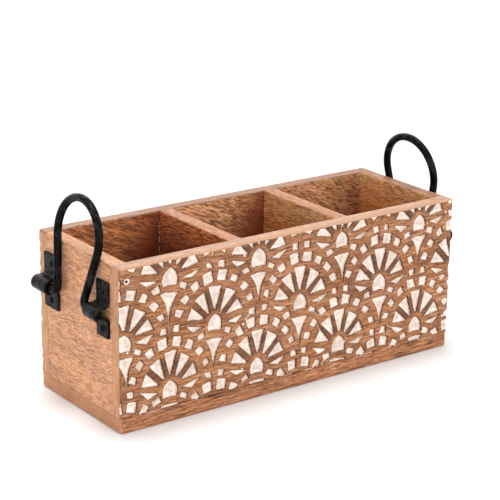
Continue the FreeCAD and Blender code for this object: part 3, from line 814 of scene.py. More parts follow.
def base_sheets(boards):
    """The base: its outline carried up a profile with a round lower edge, a flat top and an underside.

    The underside's height over x and y is 0 but for a round sinking at each nail, a little deeper than the
    nail's head."""
    shares = np.linspace(-1, 1, BASE_ROWS)
    turn = quarter(6)
    plain = np.linspace(boards.edge_round, BASE_TOP - boards.joint_ease, 6)[1:]
    inset = np.concatenate([boards.edge_round * (1 - np.sin(turn)), 0 * plain, [boards.joint_ease]])
    height = np.concatenate([boards.edge_round * (1 - np.cos(turn)), plain, [BASE_TOP]])
    rings = np.array([base_ring(boards, step, shares) for step in inset])
    sides = grid(rings[:, 0], rings[:, 1], height[:, None])

    x, deep = base_half(boards, inset[0])
    x, y = np.broadcast_arrays(x[:, None], deep[:, None] * shares)
    nail = np.minimum(nail_distance(x, y), 2 * MM)
    x, y = crisp(x, y, nail, BASE_NAIL_WALL, MM, np.zeros(x.shape, bool))
    sunk = BASE_NAIL_SINK * ease(-nail_distance(x, y), 0, BASE_NAIL_WALL)

    # The long sides show long grain, and the ends show end grain. They meet half way round each corner.
    long, short = len(x), BASE_ROWS - 2
    bend = BASE_CORNER_STEPS // 2
    loop = np.arange(sides.shape[1] + 1) % sides.shape[1]
    back = long + short
    runs = (
        (loop[bend:long - bend], 0),
        (loop[long - bend - 1:back + bend + 1], 2),
        (loop[back + bend:back + long - bend], 0),
        (np.concatenate([loop[back + long - bend - 1:], loop[1:bend + 1]]), 2),
    )
    sheets = [sheet(sides[:, run], material) for run, material in runs]
    return sheets + [sheet(grid(x, y, sunk), 0), cap(sides[-1], 1)]


# Ironwork


def arc(centre, radius, start, end, count):
    """Points along an arc, as (across, up), from one angle to another in degrees."""
    angles = np.radians(np.linspace(start, end, count))
    return np.stack([centre[0] + radius * np.cos(angles), centre[1] + radius * np.sin(angles)], -1)


def line(start, end, count):
    """Points along a straight run, without its ends."""
    return np.linspace(start, end, count + 2)[1:-1]


def followed(path, extra):
    """A path of (across, up) points, with more points at the given distances from both its ends.

    Gives each point's distance along the path, its distance from the nearer end, the points and their
    normals."""
    travelled = np.concatenate([[0], np.cumsum(np.hypot(*np.diff(path, axis=0).T))])
    stations = np.unique(np.concatenate([travelled, extra, travelled[-1] - extra]))
    path = np.stack([np.interp(stations, travelled, way) for way in path.T], -1)
    along = np.gradient(path, axis=0)
    along = along / np.hypot(*along.T)[:, None]
    normals = np.stack([along[:, 1], -along[:, 0]], -1)
    return stations, np.minimum(stations, stations[-1] - stations), path, normals


def strap_path(iron, loop_outer, upper, lower):
    """Middle line of a strap, as (out, up) from the board at the pivot: lower wing, loop, upper wing."""
    half = iron.strap_thickness / 2
    loop = loop_outer - half
    bend = iron.strap_bend + half
    standoff = PIVOT.x - HALF_LENGTH
    turn_out = half + bend
    return np.vstack([
        [(half, lower)],
        line((half, lower), (half, -loop - bend), 14),
        arc((turn_out, -loop - bend), bend, 180, 90, 8),
        line((turn_out, -loop), (standoff, -loop), 3),
        arc((standoff, 0), loop, -90, 90, 28),
        line((standoff, loop), (turn_out, loop), 3),
        arc((turn_out, loop + bend), bend, 270, 180, 8),
        line((half, loop + bend), (half, upper), 14),
        [(half, upper)],
    ])


def strap_section(half_width, half_thickness):
    """A strip's section as (out, across) with rounded edges, from columns of half width and thickness."""
    turn = np.radians([0, 30, 60, 90])
    corners = []
    for out_sign, across_sign in ((1, 1), (1, -1), (-1, -1), (-1, 1)):
        angles = turn if out_sign == across_sign else turn[::-1]
        out = out_sign * (half_thickness - STRAP_EDGE * (1 - np.sin(angles)))
        across = across_sign * (half_width - STRAP_EDGE * (1 - np.cos(angles)))
        corners.append(np.stack([out, across], -1))
    # Points along the two broad faces, between their edges
    fill = np.linspace(-1, 1, 9)[1:-1] * (half_width - STRAP_EDGE)
    front = np.stack(np.broadcast_arrays(half_thickness, fill[:, ::-1]), -1)
    back = np.stack(np.broadcast_arrays(-half_thickness, fill), -1)
    return np.concatenate([corners[0], front, corners[1], corners[2], back, corners[3]], axis=1)


def strap_sheets(iron, box, sign, seed):
    """A strap: a strip's section carried along the strap's path, with round corners at both ends."""
    low, high = box
    loop_outer = max(abs(low.x), abs(high.x)) - PIVOT.x
    path = strap_path(iron, loop_outer, high.z - PIVOT.z, low.z - PIVOT.z)
    stations, from_end, path, normals = followed(path, edge_steps(iron.strap_corner, 6)[1:])
    half_width = (high.y - low.y) / 2 - round_off(from_end, iron.strap_corner)
    half_thickness = iron.strap_thickness / 2 - 0.6 * round_off(from_end, STRAP_EDGE)
    section = strap_section(half_width[:, None], half_thickness[:, None])
    out, across = section[..., 0], section[..., 1]
    out = out + np.sign(out) * HAMMER_DEPTH * waves(stations[:, None], across, HAMMER_RUN, seed)
    sway = 1 + STRAP_SWAY * waves(stations, 0 * stations, STRAP_SWAY_RUN, seed + 1)
    place = path[:, None] + normals[:, None] * out[..., None]
    x = sign * (HALF_LENGTH + np.maximum(place[..., 0], 0))
    points = grid(x, (low.y + high.y) / 2 + across * sway[:, None], PIVOT.z + place[..., 1])
    return [sheet(points, 0, closed_columns=True), cap(points[0]), cap(points[-1])]


def nail_sheets(iron, x, y, z, length, sign, seed):
    """A strap nail: domed head, underside and pointed shank, as a profile spun round the nail's axis."""
    head, shank = iron.nail_head / 2, iron.nail_shank / 2
    ball = (head ** 2 + iron.nail_dome ** 2) / (2 * iron.nail_dome)
    swing = np.linspace(0, math.asin(head / ball), 10)
    dome = np.stack([ball * np.sin(swing), ball * np.cos(swing) - ball + iron.nail_dome], -1)
    rest = np.array([(head * 0.97, 0), (shank, 0), (shank, 3 * shank - length), (0, -length)])
    profile = np.vstack([dome, rest])
    radius, out = profile[:, :1], profile[:, 1:]
    spin = np.linspace(0, 2 * math.pi, 25)[:-1]
    across, up = radius * np.cos(spin), radius * np.sin(spin)
    dent = NAIL_DENT * waves(across + seed * 7 * MM, up, NAIL_DENT_RUN, seed)
    out = out + dent * ease(out, 0, iron.nail_dome / 2)
    return [sheet(grid(sign * (x + out), y + across, z + up), 0, closed_columns=True)]


def bail_leg(iron, radius, centre, corner, reach):
    """Half of a bail in its own plane, as (outwards, up) from the pivot, from its foot's end to the top.

    The leg is the tangent from the foot's corner to the arch, and the foot turns into it on an arc."""
    away = math.hypot(corner - centre, iron.arch_rise)
    spread = math.asin(radius / away) - math.atan2(corner - centre, iron.arch_rise)
    bend_start = np.array([corner + iron.foot_bend * math.tan(math.pi / 4 + spread / 2), 0])
    bend = arc(bend_start + (0, iron.foot_bend), iron.foot_bend, -90, -180 - math.degrees(spread), 14)
    crown = arc((centre, iron.arch_rise), radius, -math.degrees(spread), 90, 40)
    return np.vstack([
        [(reach, 0)],
        line((reach, 0), bend_start, 12),
        bend,
        line(bend[-1], crown[0], 16),
        crown,
    ])


def bail_path(iron, side):
    """Middle line of a bail in its own plane, as (y, up) from the pivot, from front foot to back foot."""
    radius, forward, front, back = getattr(iron, side + "_bail")
    low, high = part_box(side + "_bail_handle")
    front_leg = bail_leg(iron, radius, forward, front, -low.y)
    back_leg = bail_leg(iron, radius, -forward, back, high.y)
    return np.vstack([front_leg * (-1, 1), back_leg[-2::-1]])


def bail_lean(iron):
    """The angle by which a resting bail leans in, from how far in the right one's arch reaches."""
    reach = PIVOT.x - ROD_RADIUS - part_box("right_bail_handle")[0].x
    return math.asin(reach / (iron.arch_rise + iron.right_bail[0]))


def bail_sheets(iron, side, seed):
    """A bail: a circle carried along the bail's path in its leaning plane, bevelled and closed at both feet.

    The circle is hammered to faint flats, and waves a little along the rod."""
    bevel = iron.foot_chamfer
    stations, from_end, path, normals = followed(bail_path(iron, side), np.array([bevel]))
    spin = np.linspace(0, 2 * math.pi, 33)[:-1]
    wave = ROD_WAVE * (1 + waves(stations[:, None], spin * ROD_GIRTH_STEP, ROD_WAVE_RUN, seed))
    radius = ROD_RADIUS - np.clip(bevel - from_end, 0, None)
    reach = radius[:, None] * (1 - wave - ROD_FLATNESS * np.cos(ROD_FLATS * spin))
    flat = path[:, None] + normals[:, None] * (reach * np.cos(spin))[..., None]
    up, beside = flat[..., 1], reach * np.sin(spin)
    lean = bail_lean(iron)
    x = PIVOT.x - up * math.sin(lean) + beside * math.cos(lean)
    z = PIVOT.z + up * math.cos(lean) + beside * math.sin(lean)
    points = grid(SIDES[side] * x, flat[..., 0], z)
    return [sheet(points, 0, closed_columns=True), cap(points[0]), cap(points[-1])]


# Finishes


def add(tree, kind, inputs=None, out=0, stops=(), **settings):
    """Adds a shader node: settings, its sockets' values or links, a ramp's stops. Gives one output."""
    node = tree.nodes.new(kind)
    for key, value in settings.items():
        setattr(node, key, value)
    for key, value in (inputs or {}).items():
        if isinstance(value, bpy.types.NodeSocket):
            tree.links.new(value, node.inputs[key])
        else:
            node.inputs[key].default_value = value
    for place, (position, colour) in enumerate(stops):
        elements = node.color_ramp.elements
        stop = elements[place] if place < 2 else elements.new(position)
        stop.position = position
        stop.color = (*colour, 1)
    return node.outputs[out] if len(node.outputs) else None


def new_material(name):
    """An empty node material and its node tree."""
    material = bpy.data.materials.new(name)
    material.use_nodes = True
    material.node_tree.nodes.clear()
    return material, material.node_tree


def marks(tree, size, turn=(0, 0, 0), **sockets):
    """Random marks of a real size along the caddy's own x, y and z, as a value that lies round a half."""
    place = add(tree, "ShaderNodeTexCoord", out="Object")
    mapped = add(tree, "ShaderNodeMapping", {
        "Vector": place, "Rotation": turn, "Scale": size}, vector_type="TEXTURE")
    return add(tree, "ShaderNodeTexNoise", {"Vector": mapped, "Scale": 1.0, **sockets}, "Fac")


def show(tree, sockets, height=None, strength=0.4, depth=0.35 * MM):
    """Ends a material: the surface's sockets, and a relief from a height that can just be felt."""
    if height is not None:
        sockets["Normal"] = add(tree, "ShaderNodeBump", {
            "Strength": strength, "Distance": depth, "Height": height})
    shader = add(tree, "ShaderNodeBsdfPrincipled", sockets)
    add(tree, "ShaderNodeOutputMaterial", {"Surface": shader})


def shade(colour, factor):
    """A colour made darker or lighter by a factor."""
    return tuple(min(part * factor, 1) for part in colour)


def blend(first, second, share):
    """A colour part way from one to another."""
    return tuple(a + (b - a) * share for a, b in zip(first, second))


def grain_size(axis, length, width):
    """The size of a pattern that runs along one axis of the caddy."""
    return tuple(length if place == axis else width for place in "xyz")


def wood_layers(tree, colour, axis, turn, contrast, golden, length=1.0):
    """Mango wood as colour and height: broad figure, fine grain and short dark pores along one axis.

    The figure is about 8 mm wide and the grain 0.8 mm. Real pores are 0.2 mm wide: they are drawn at 0.5 mm
    to show. Golden is how far a still broader drift goes from reddish to golden. Contrast spreads the tones
    of the others, and length stretches all marks along the grain."""
    drift, figure, grain, pores = (
        marks(tree, grain_size(axis, run * length, width), turn, Detail=fine, Roughness=0.6, Distortion=0.3)
        for run, width, fine in (
            (70 * MM, 35 * MM, 1), (70 * MM, 8 * MM, 2), (10 * MM, 0.8 * MM, 2), (4.5 * MM, 0.5 * MM, 1)))
    tone = add(tree, "ShaderNodeMath", {0: figure, 1: 0.4, 2: grain}, operation="MULTIPLY_ADD")
    tone = add(tree, "ShaderNodeMapRange", {"Value": tone, "From Min": 0.44, "From Max": 0.96})
    pale = blend(shade(colour, 1.4), linear("#D8BFA8"), 0.25)
    body = add(tree, "ShaderNodeValToRGB", {"Fac": tone}, "Color", (
        (0.1, shade(colour, 1 - 0.5 * contrast)),
        (0.9, blend(colour, pale, min(contrast, 1))),
        (0.5, colour),
    ))
    drift = add(tree, "ShaderNodeMapRange", {
        "Value": drift, "From Min": 0.45, "From Max": 0.65, "To Max": golden})
    body = add(tree, "ShaderNodeMix", {
        0: drift, 6: body, 7: (1.12, 1.1, 0.8, 1)}, 2, data_type="RGBA", blend_type="MULTIPLY")
    pore = add(tree, "ShaderNodeMapRange", {
        "Value": pores, "From Min": 0.54, "From Max": 0.68, "To Max": 0.7 * contrast})
    dark = blend(shade(colour, 0.42), linear("#7A3A1E"), 0.4)
    body = add(tree, "ShaderNodeMix", {0: pore, 6: body, 7: (*dark, 1)}, 2, data_type="RGBA")
    return body, add(tree, "ShaderNodeMath", {0: grain, 1: pore}, operation="SUBTRACT")


def sanded_wood(name, colour, axis, turn=(0, 0, 0), contrast=1.0, golden=0.25, length=1.0):
    """Sanded, unvarnished mango wood: a low sheen at a glancing angle, grain that can just be felt."""
    material, tree = new_material(name)
    body, height = wood_layers(tree, colour, axis, turn, contrast, golden, length)
    show(tree, {"Base Color": body, "Roughness": 0.55, "IOR": 1.5, "Specular IOR Level": 0.35}, height)
    return material


def sawn_wood(name, colour, axis, turn, torn, torn_size=(6 * MM, 0.9 * MM), painted_shades=(), corners=0.0, seams=()):
    """Rough-sawn mango wood: torn fibres lie slantwise in dark, coarse strokes and scatter the light.

    Torn is the strokes' strength, and torn_size their length and width. Corners is the strength of a painted
    shade that darkens each compartment's right and lower part, in the right compartment half as much. The
    other painted shades are darker colours that the wood takes on from one place to another along x or z,
    where light falls off. A seam is a joint where beads of dried, whitish glue were left: its x, its half
    width, and the heights it lies between."""
    material, tree = new_material(name)
    body, _ = wood_layers(tree, colour, axis, turn, 1.0, 0.5)
    fibres = marks(tree, grain_size(axis, *torn_size), turn, Detail=1.0, Roughness=0.5, Distortion=1.0)
    stroke = add(tree, "ShaderNodeMapRange", {
        "Value": fibres, "From Min": 0.58, "From Max": 0.4, "To Max": torn})

    # Painted shade grows to the right and downwards in each compartment.
    place = add(tree, "ShaderNodeTexCoord", out="Object")
    where = add(tree, "ShaderNodeSeparateXYZ", {0: place}).node.outputs
    across = add(tree, "ShaderNodeMath", {0: where["X"], 1: MOUTHS[0][0], 2: MOUTHS[1][0]}, operation="WRAP")
    deep = add(tree, "ShaderNodeMath", {0: where["Z"], 1: -0.6, 2: across}, operation="MULTIPLY_ADD")
    strength = add(tree, "ShaderNodeMapRange", {
        "Value": where["X"], "From Min": MOUTHS[1][1], "From Max": MOUTHS[2][0],
        "To Min": corners, "To Max": 0.5 * corners})
    painted_corner_shade = add(tree, "ShaderNodeMapRange", {
        "Value": deep, "From Min": MOUTHS[0][0] - 0.6 * RIM + 40 * MM,
        "From Max": MOUTHS[0][1] - 0.6 * RIM + 15 * MM, "To Max": strength}, interpolation_type="SMOOTHSTEP")
    layers = [
        (stroke, blend(shade(colour, 0.2), linear("#4A1E08"), 0.5), "MIX"),
        (painted_corner_shade, linear("#6E2C06"), "MIX"),
    ]
    # Painted shade: darker colours along x or z, standing for light that falls off there
    for key, start, end, tone in painted_shades:
        share = add(tree, "ShaderNodeMapRange", {"Value": where[key], "From Min": start, "From Max": end})
        layers.append((share, tone, "MULTIPLY"))
    for x_at, half_width, low, high in seams:
        glue = marks(tree, (1.8 * MM,) * 3, Detail=1.0)
        glue = add(tree, "ShaderNodeMapRange", {"Value": glue, "From Min": 0.44, "From Max": 0.54})
        for key, middle, half in (("X", x_at, half_width), ("Z", (low + high) / 2, (high - low) / 2)):
            away = add(tree, "ShaderNodeMath", {0: where[key], 1: middle}, operation="SUBTRACT")
            away = add(tree, "ShaderNodeMath", {0: away}, operation="ABSOLUTE")
            near = add(tree, "ShaderNodeMapRange", {"Value": away, "From Min": half, "From Max": 0.6 * half})
            glue = add(tree, "ShaderNodeMath", {0: glue, 1: near}, operation="MULTIPLY")
        layers.append((glue, linear("#C4AC98"), "MIX"))
    for share, tone, way in layers:
        body = add(tree, "ShaderNodeMix", {
            0: share, 6: body, 7: (*tone, 1)}, 2, data_type="RGBA", blend_type=way)
    show(tree, {
        "Base Color": body, "Roughness": 0.75, "IOR": 1.5, "Specular IOR Level": 0.3}, fibres, 0.8, 0.6 * MM)
    return material


def washed_carving(name, colour, rim, wash):
    """Carved mango wood with white wash rubbed into its cuts: chalky, faintly flecked floors, brown ridges.

    The cut attribute is the distance to a cut's edge in millimetres, below 0 inside. The attribute for the
    shaded side is high at a cut's upper and right sides, where shade is painted: the wash there turns tan,
    and the bare edge nearly black, as shadow. The fan attribute is high between the rays, where the narrow
    ridges are painted darker, and in the open brad hole, which is painted dark as its shade. The top edge is
    sanded as pale as the rim."""
    material, tree = new_material(name)
    body, height = wood_layers(tree, colour, "x", (0, 0, 0), 1.45, 0.6)
    cut, fan, shaded_side = (
        add(tree, "ShaderNodeAttribute", out="Fac", attribute_name=key) for key in ("cut", "fan", "shaded_side"))
    ragged, flecks, cloud = (
        marks(tree, (size * 1.4, size, size), Detail=detail)
        for size, detail in ((1.6 * MM, 1), (1.1 * MM, 1), (4 * MM, 3)))

    # Bare wood: narrow ridges painted darker, a painted shadow along the cuts' edges, darkest on their upper
    # and right sides, and a pale top edge
    ridge = add(tree, "ShaderNodeMath", {0: fan, 1: cloud}, operation="MULTIPLY")
    ridge = add(tree, "ShaderNodeMapRange", {"Value": ridge, "From Max": 0.78})
    # Painted shadow: a dark line just outside each cut's edge, faint all round and strongest on its upper
    # and right sides
    edge = add(tree, "ShaderNodeMapRange", {"Value": cut, "From Min": 0.45, "From Max": 0.05})
    strength = add(tree, "ShaderNodeMath", {0: shaded_side, 1: 0.6, 2: 0.35}, operation="MULTIPLY_ADD")
    edge = add(tree, "ShaderNodeMath", {0: edge, 1: strength}, operation="MULTIPLY")
    place = add(tree, "ShaderNodeTexCoord", out="Object")
    up = add(tree, "ShaderNodeSeparateXYZ", {0: place}, "Z")
    up = add(tree, "ShaderNodeMath", {0: ragged, 1: 1.4 * MM, 2: up}, operation="MULTIPLY_ADD")
    sanded = add(tree, "ShaderNodeMapRange", {
        "Value": up, "From Min": RIM - 1.0 * MM, "From Max": RIM - 0.3 * MM, "To Max": 0.9})
    for share, tone in ((ridge, linear("#4A2A1A")), (edge, linear("#35190B")), (sanded, rim)):
        body = add(tree, "ShaderNodeMix", {0: share, 6: body, 7: (*tone, 1)}, 2, data_type="RGBA")

    # Wash: clouded white, greyer in the middle of a cut, with flecks, and painted shade that turns it tan
    # towards the cut's edge, furthest on its upper and right sides
    rubbed = add(tree, "ShaderNodeMapRange", {
        "Value": cut, "From Min": -0.5, "From Max": -2.6, "To Max": -0.28})
    rubbed = add(tree, "ShaderNodeMath", {0: cloud, 1: rubbed}, operation="ADD")
    chalk = add(tree, "ShaderNodeValToRGB", {"Fac": rubbed}, "Color", (
        (0.12, blend(wash, linear("#BBA596"), 0.7)), (0.56, wash)))
    fleck = add(tree, "ShaderNodeMapRange", {
        "Value": flecks, "From Min": 0.6, "From Max": 0.76, "To Max": 0.5})
    uneven = add(tree, "ShaderNodeMapRange", {
        "Value": cloud, "From Min": 0.5, "From Max": 0.62, "To Min": -0.4, "To Max": -1.7})
    reach = add(tree, "ShaderNodeMath", {0: shaded_side, 1: uneven, 2: -0.38}, operation="MULTIPLY_ADD")
    # Painted shade: tan wash near the edge, reaching further in on the shaded side
    shaded_wash = add(tree, "ShaderNodeMapRange", {
        "Value": cut, "From Min": reach, "From Max": 0.0, "To Max": 0.72})
    for share, tone in ((fleck, linear("#8D8782")), (shaded_wash, linear("#C39A7C"))):
        chalk = add(tree, "ShaderNodeMix", {0: share, 6: chalk, 7: (*tone, 1)}, 2, data_type="RGBA")
    # The wash also stops a little short on the shaded side, so more of the painted dark edge shows
    frayed = add(tree, "ShaderNodeMath", {0: ragged, 1: 0.2, 2: cut}, operation="MULTIPLY_ADD")
    frayed = add(tree, "ShaderNodeMath", {0: shaded_side, 1: 0.1, 2: frayed}, operation="MULTIPLY_ADD")
    cover = add(tree, "ShaderNodeMapRange", {"Value": frayed, "From Min": 0.06, "From Max": -0.06})
    body = add(tree, "ShaderNodeMix", {0: cover, 6: body, 7: chalk}, 2, data_type="RGBA")
    matte = add(tree, "ShaderNodeMapRange", {"Value": cover, "To Min": 0.55, "To Max": 0.85})
    show(tree, {"Base Color": body, "Roughness": matte, "IOR": 1.5, "Specular IOR Level": 0.3}, height)
    return material


def black_iron(name, colour, size, worn_and_sheen_tone):
    """Blackened wrought iron: near black with a dull sheen, fine scale marks and lighter patches.

    Size is the scale marks' size. The lightest patches are the given number of times lighter than the
    colour: they stand both for rubbed wear and for painted highlights along the bar."""
    material, tree = new_material(name)
    scale, rubbed = (marks(tree, run, Detail=3.0, Roughness=0.6) for run in (size, (7 * MM,) * 3))
    # Lighter patches, partly rubbed wear and partly painted highlight
    worn_and_sheen = add(tree, "ShaderNodeMath", {0: scale, 1: rubbed}, operation="MULTIPLY")
    body = add(tree, "ShaderNodeValToRGB", {"Fac": worn_and_sheen}, "Color", (
        (0.16, shade(colour, 0.3)), (0.36, shade(colour, worn_and_sheen_tone)), (0.26, shade(colour, 0.8))))
    rough = add(tree, "ShaderNodeMapRange", {
        "Value": rubbed, "From Min": 0.3, "From Max": 0.7, "To Min": 0.34, "To Max": 0.2})
    show(tree, {"Base Color": body, "Roughness": rough, "Specular IOR Level": 0.06}, scale, 0.8)
    return material


def steel_wire(name):
    """Drawn steel wire nails: grey, softly shining, with dull spots where they were struck."""
    material, tree = new_material(name)
    dull = marks(tree, (0.8 * MM,) * 3, Detail=2.0)
    body = add(tree, "ShaderNodeValToRGB", {"Fac": dull}, "Color", (
        (0.35, linear("#6F6C68")), (0.65, linear("#B4B0AA"))))
    rough = add(tree, "ShaderNodeMapRange", {"Value": dull, "To Min": 0.6, "To Max": 0.3})
    show(tree, {"Base Color": body, "Roughness": rough, "Metallic": 1.0})
    return material


def finish(name):
    """A finish by its material's name, made once."""
    colours = bpy.context.scene.caddy_colours
    end, face, rim, inside, wash, iron = (tuple(getattr(colours, key)) for key in (
        "end_wood", "face_wood", "rim_wood", "inside_wood", "wash", "iron"))
    red = linear("#B8602C")
    slant = (math.radians(-4), 0, 0)

    def below_rim(tone):
        """A painted shade that darkens the wood from a little below the rim downwards."""
        return [("Z", RIM - 4 * MM, RIM - 24 * MM, tone)]

    makers = {
        "carved_mango_with_wash": partial(washed_carving, colour=face, rim=rim, wash=wash),
        "sanded_mango_end": partial(
            sanded_wood, colour=end, axis="y", turn=(math.radians(178), 0, 0), contrast=1.2, golden=0.35,
            length=0.9),
        "sanded_mango_long_rim": partial(sanded_wood, colour=rim, axis="x", contrast=0.9),
        "sanded_mango_left_rim": partial(sanded_wood, colour=shade(end, 0.95), axis="y", contrast=0.8),
        "sanded_mango_divider_rim": partial(
            sanded_wood, colour=blend(shade(end, 0.66), red, 0.25), axis="y"),
        "sanded_mango_right_rim": partial(
            sanded_wood, colour=blend(shade(end, 0.44), red, 0.15), axis="y"),
        "sanded_mango_back_rim": partial(
            sanded_wood, colour=blend(shade(rim, 0.58), red, 0.12), axis="x", contrast=0.8),
        "mango_end_grain": partial(sanded_wood, colour=shade(end, 0.88), axis="z", contrast=0.75),
        # The inside finishes are painted with light and shade: colours raised well above the inside wood's
        # own, the left boards painted darker and redder, the right ones lighter, the long boards darker in
        # the outer compartments
        "sawn_mango_long": partial(
            sawn_wood, colour=blend(shade(inside, 1.75), linear("#E0B898"), 0.3), axis="x",
            turn=(0, math.radians(24), 0), torn=0.8, torn_size=(8 * MM, 1.3 * MM), corners=0.95,
            painted_shades=(
                ("X", MOUTHS[1][0], MOUTHS[0][1], (0.79, 0.6, 0.42)),
                ("X", MOUTHS[1][1], MOUTHS[2][0], (0.82, 0.8, 0.78))),
            seams=(
                (MOUTHS[0][1], 0.9 * MM, RIM - 34 * MM, RIM - 6 * MM),
                (MOUTHS[2][1], 3.4 * MM, RIM - 15 * MM, RIM + 6 * MM))),
        "sawn_mango_left": partial(
            sawn_wood, colour=shade(blend(inside, linear("#C0501E"), 0.45), 1.65), axis="y", turn=slant,
            torn=0.85, painted_shades=below_rim((0.4, 0.33, 0.25))),
        "sawn_mango_right": partial(
            sawn_wood, colour=blend(shade(inside, 1.95), linear("#FFD8B0"), 0.2), axis="y", turn=slant,
            torn=0.5, painted_shades=below_rim((0.75, 0.56, 0.4))),
        "sawn_mango_base": partial(
            sawn_wood, colour=inside, axis="x", turn=(0, 0, math.radians(4)), torn=0.5),
        "sanded_mango_base": partial(
            sanded_wood, colour=shade(face, 1.17), axis="x", contrast=1.8, golden=0.4),
        "mango_base_end_grain": partial(sanded_wood, colour=blend(face, end, 0.55), axis="x", contrast=0.9),
        "blackened_iron_strap": partial(
            black_iron, colour=shade(iron, 3.0), size=(9 * MM, 1.0 * MM, 9 * MM), worn_and_sheen_tone=4.0),
        "blackened_iron_rod": partial(
            black_iron, colour=iron, size=(0.8 * MM, 4 * MM, 12 * MM), worn_and_sheen_tone=8.0),
        "steel_wire": steel_wire,
    }
    return bpy.data.materials.get(name) or makers[name](name)


# Stage


def seen_white(tree, lit):
    """A background that the camera, mirrors and glass see as plain white, and other rays as it lights."""
    rays = add(tree, "ShaderNodeLightPath").node.outputs
    seen = rays["Is Camera Ray"]
    for key in ("Is Glossy Ray", "Is Transmission Ray"):
        seen = add(tree, "ShaderNodeMath", {0: seen, 1: rays[key]}, operation="MAXIMUM")
    white = add(tree, "ShaderNodeBackground", {"Color": (1, 1, 1, 1), "Strength": 1.0})
    return add(tree, "ShaderNodeMixShader", {0: seen, 1: lit, 2: white})


def make_floor():
    """A wide pale floor of matte paint."""
    mesh = bpy.data.meshes.new("floor")
    corners = np.array([(-1, -1, 0), (1, -1, 0), (1, 1, 0), (-1, 1, 0)]) * FLOOR_HALF
    mesh.from_pydata(corners.tolist(), [], [(0, 1, 2, 3)])
    material, tree = new_material("matte_white_floor")
    shader = add(tree, "ShaderNodeBsdfDiffuse", {"Color": (*linear("#FBFBFB"), 1)})
    add(tree, "ShaderNodeOutputMaterial", {"Surface": shader})
    mesh.materials.append(material)
    floor = bpy.data.objects.new("floor", mesh)
    bpy.context.scene.collection.objects.link(floor)


def make_world(scene):
    """An even white room, dimmer as a light than it looks."""
    world = bpy.data.worlds.new("white_room")
    world.use_nodes = True
    tree = world.node_tree
    tree.nodes.clear()
    lit = add(tree, "ShaderNodeBackground", {"Color": (1, 1, 1, 1), "Strength": ROOM_LIGHT})
    add(tree, "ShaderNodeOutputWorld", {"Surface": seen_white(tree, lit)})
    scene.world = world


def make_lamps():
    """A soft ceiling light, low ones from the front and the front left, and a weaker one from the back."""
    for name, (toward, spread, strength) in LAMPS.items():
        lamp = bpy.data.lights.new(name, "SUN")
        lamp.angle = math.radians(spread)
        lamp.energy = strength
        holder = bpy.data.objects.new(name, lamp)
        holder.location = Vector(toward)
        holder.rotation_euler = Vector(toward).to_track_quat("Z", "Y").to_euler()
        bpy.context.scene.collection.objects.link(holder)


def make_camera(scene):
    """The camera, at the view that was fitted to the box's corners."""
    azimuth, elevation, roll = (
        math.radians(angle) for angle in (CAMERA_AZIMUTH, CAMERA_ELEVATION, CAMERA_ROLL))
    level = math.cos(elevation)
    back = Vector((math.sin(azimuth) * level, -math.cos(azimuth) * level, math.sin(elevation)))
    right = Vector((0, 0, 1)).cross(back).normalized()
    up = back.cross(right)
    rolled_right = right * math.cos(roll) + up * math.sin(roll)
    rolled_up = up * math.cos(roll) - right * math.sin(roll)
    turn = Matrix((rolled_right, rolled_up, back)).transposed().to_4x4()
    lens = bpy.data.cameras.new("camera")
    lens.lens = CAMERA_LENS
    camera = bpy.data.objects.new("camera", lens)
    camera.matrix_world = Matrix.Translation(CAMERA_TARGET + back * CAMERA_DISTANCE) @ turn
    scene.collection.objects.link(camera)
    scene.camera = camera


# Operators


class CADDY_OT_carved_panels(bpy.types.Operator):
    """Carves the front and the back"""

    bl_idname = "caddy.carved_panels"
    bl_label = "Carved panels"

    def execute(self, context):
        scene = context.scene
        rims = {"front": "sanded_mango_long_rim", "back": "sanded_mango_back_rim"}
        for step, face in enumerate(FACES):
            rng = np.random.default_rng(scene.caddy_carving.seed + step)
            sheets = panel_sheets(scene.caddy_boards, scene.caddy_carving, CLEAR_RIM[face], rng)
            if face == "back":
                sheets = turned_about(sheets)
            materials = ("carved_mango_with_wash", rims[face], "mango_end_grain", "sawn_mango_long")
            make_piece(face + "_carved_panel", sheets, materials, "box", [face + "_panel"],
                       resting={"cut": 10.0, "fan": 0.0, "shaded_side": 0.0})
        return {"FINISHED"}


class CADDY_OT_plain_boards(bpy.types.Operator):
    """Makes the ends, the dividers and the base"""

    bl_idname = "caddy.plain_boards"
    bl_label = "Plain boards"

    def execute(self, context):
        boards = context.scene.caddy_boards
        for step, (side, sign) in enumerate(SIDES.items()):
            for name, outer in ((side + "_end_panel", sign), (side + "_divider", 0)):
                sheets = board_sheets(*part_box(name), outer, boards, BOARD_SEED + 10 * step + abs(outer))
                rim = "sanded_mango_" + (side if outer else "divider") + "_rim"
                make_piece(name.replace("panel", "board") + "_sanded", sheets,
                           ("sanded_mango_end", rim, "sawn_mango_" + side), "box", [name])
        make_piece("base_board_sanded", base_sheets(boards),
                   ("sanded_mango_base", "sawn_mango_base", "mango_base_end_grain"), "box",
                   ["base_board"])
        return {"FINISHED"}


class CADDY_OT_straps(bpy.types.Operator):
    """Forges the four straps"""

    bl_idname = "caddy.straps"
    bl_label = "Straps"

    def execute(self, context):
        iron = context.scene.caddy_iron
        for side, sign in SIDES.items():
            for face, way in FACES.items():
                name = side + "_" + face + "_strap"
                sheets = strap_sheets(iron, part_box(name), sign, STRAP_SEED + 5 * sign + way)
                make_piece(name + "_iron", sheets, ["blackened_iron_strap"], "box", [name])
        return {"FINISHED"}


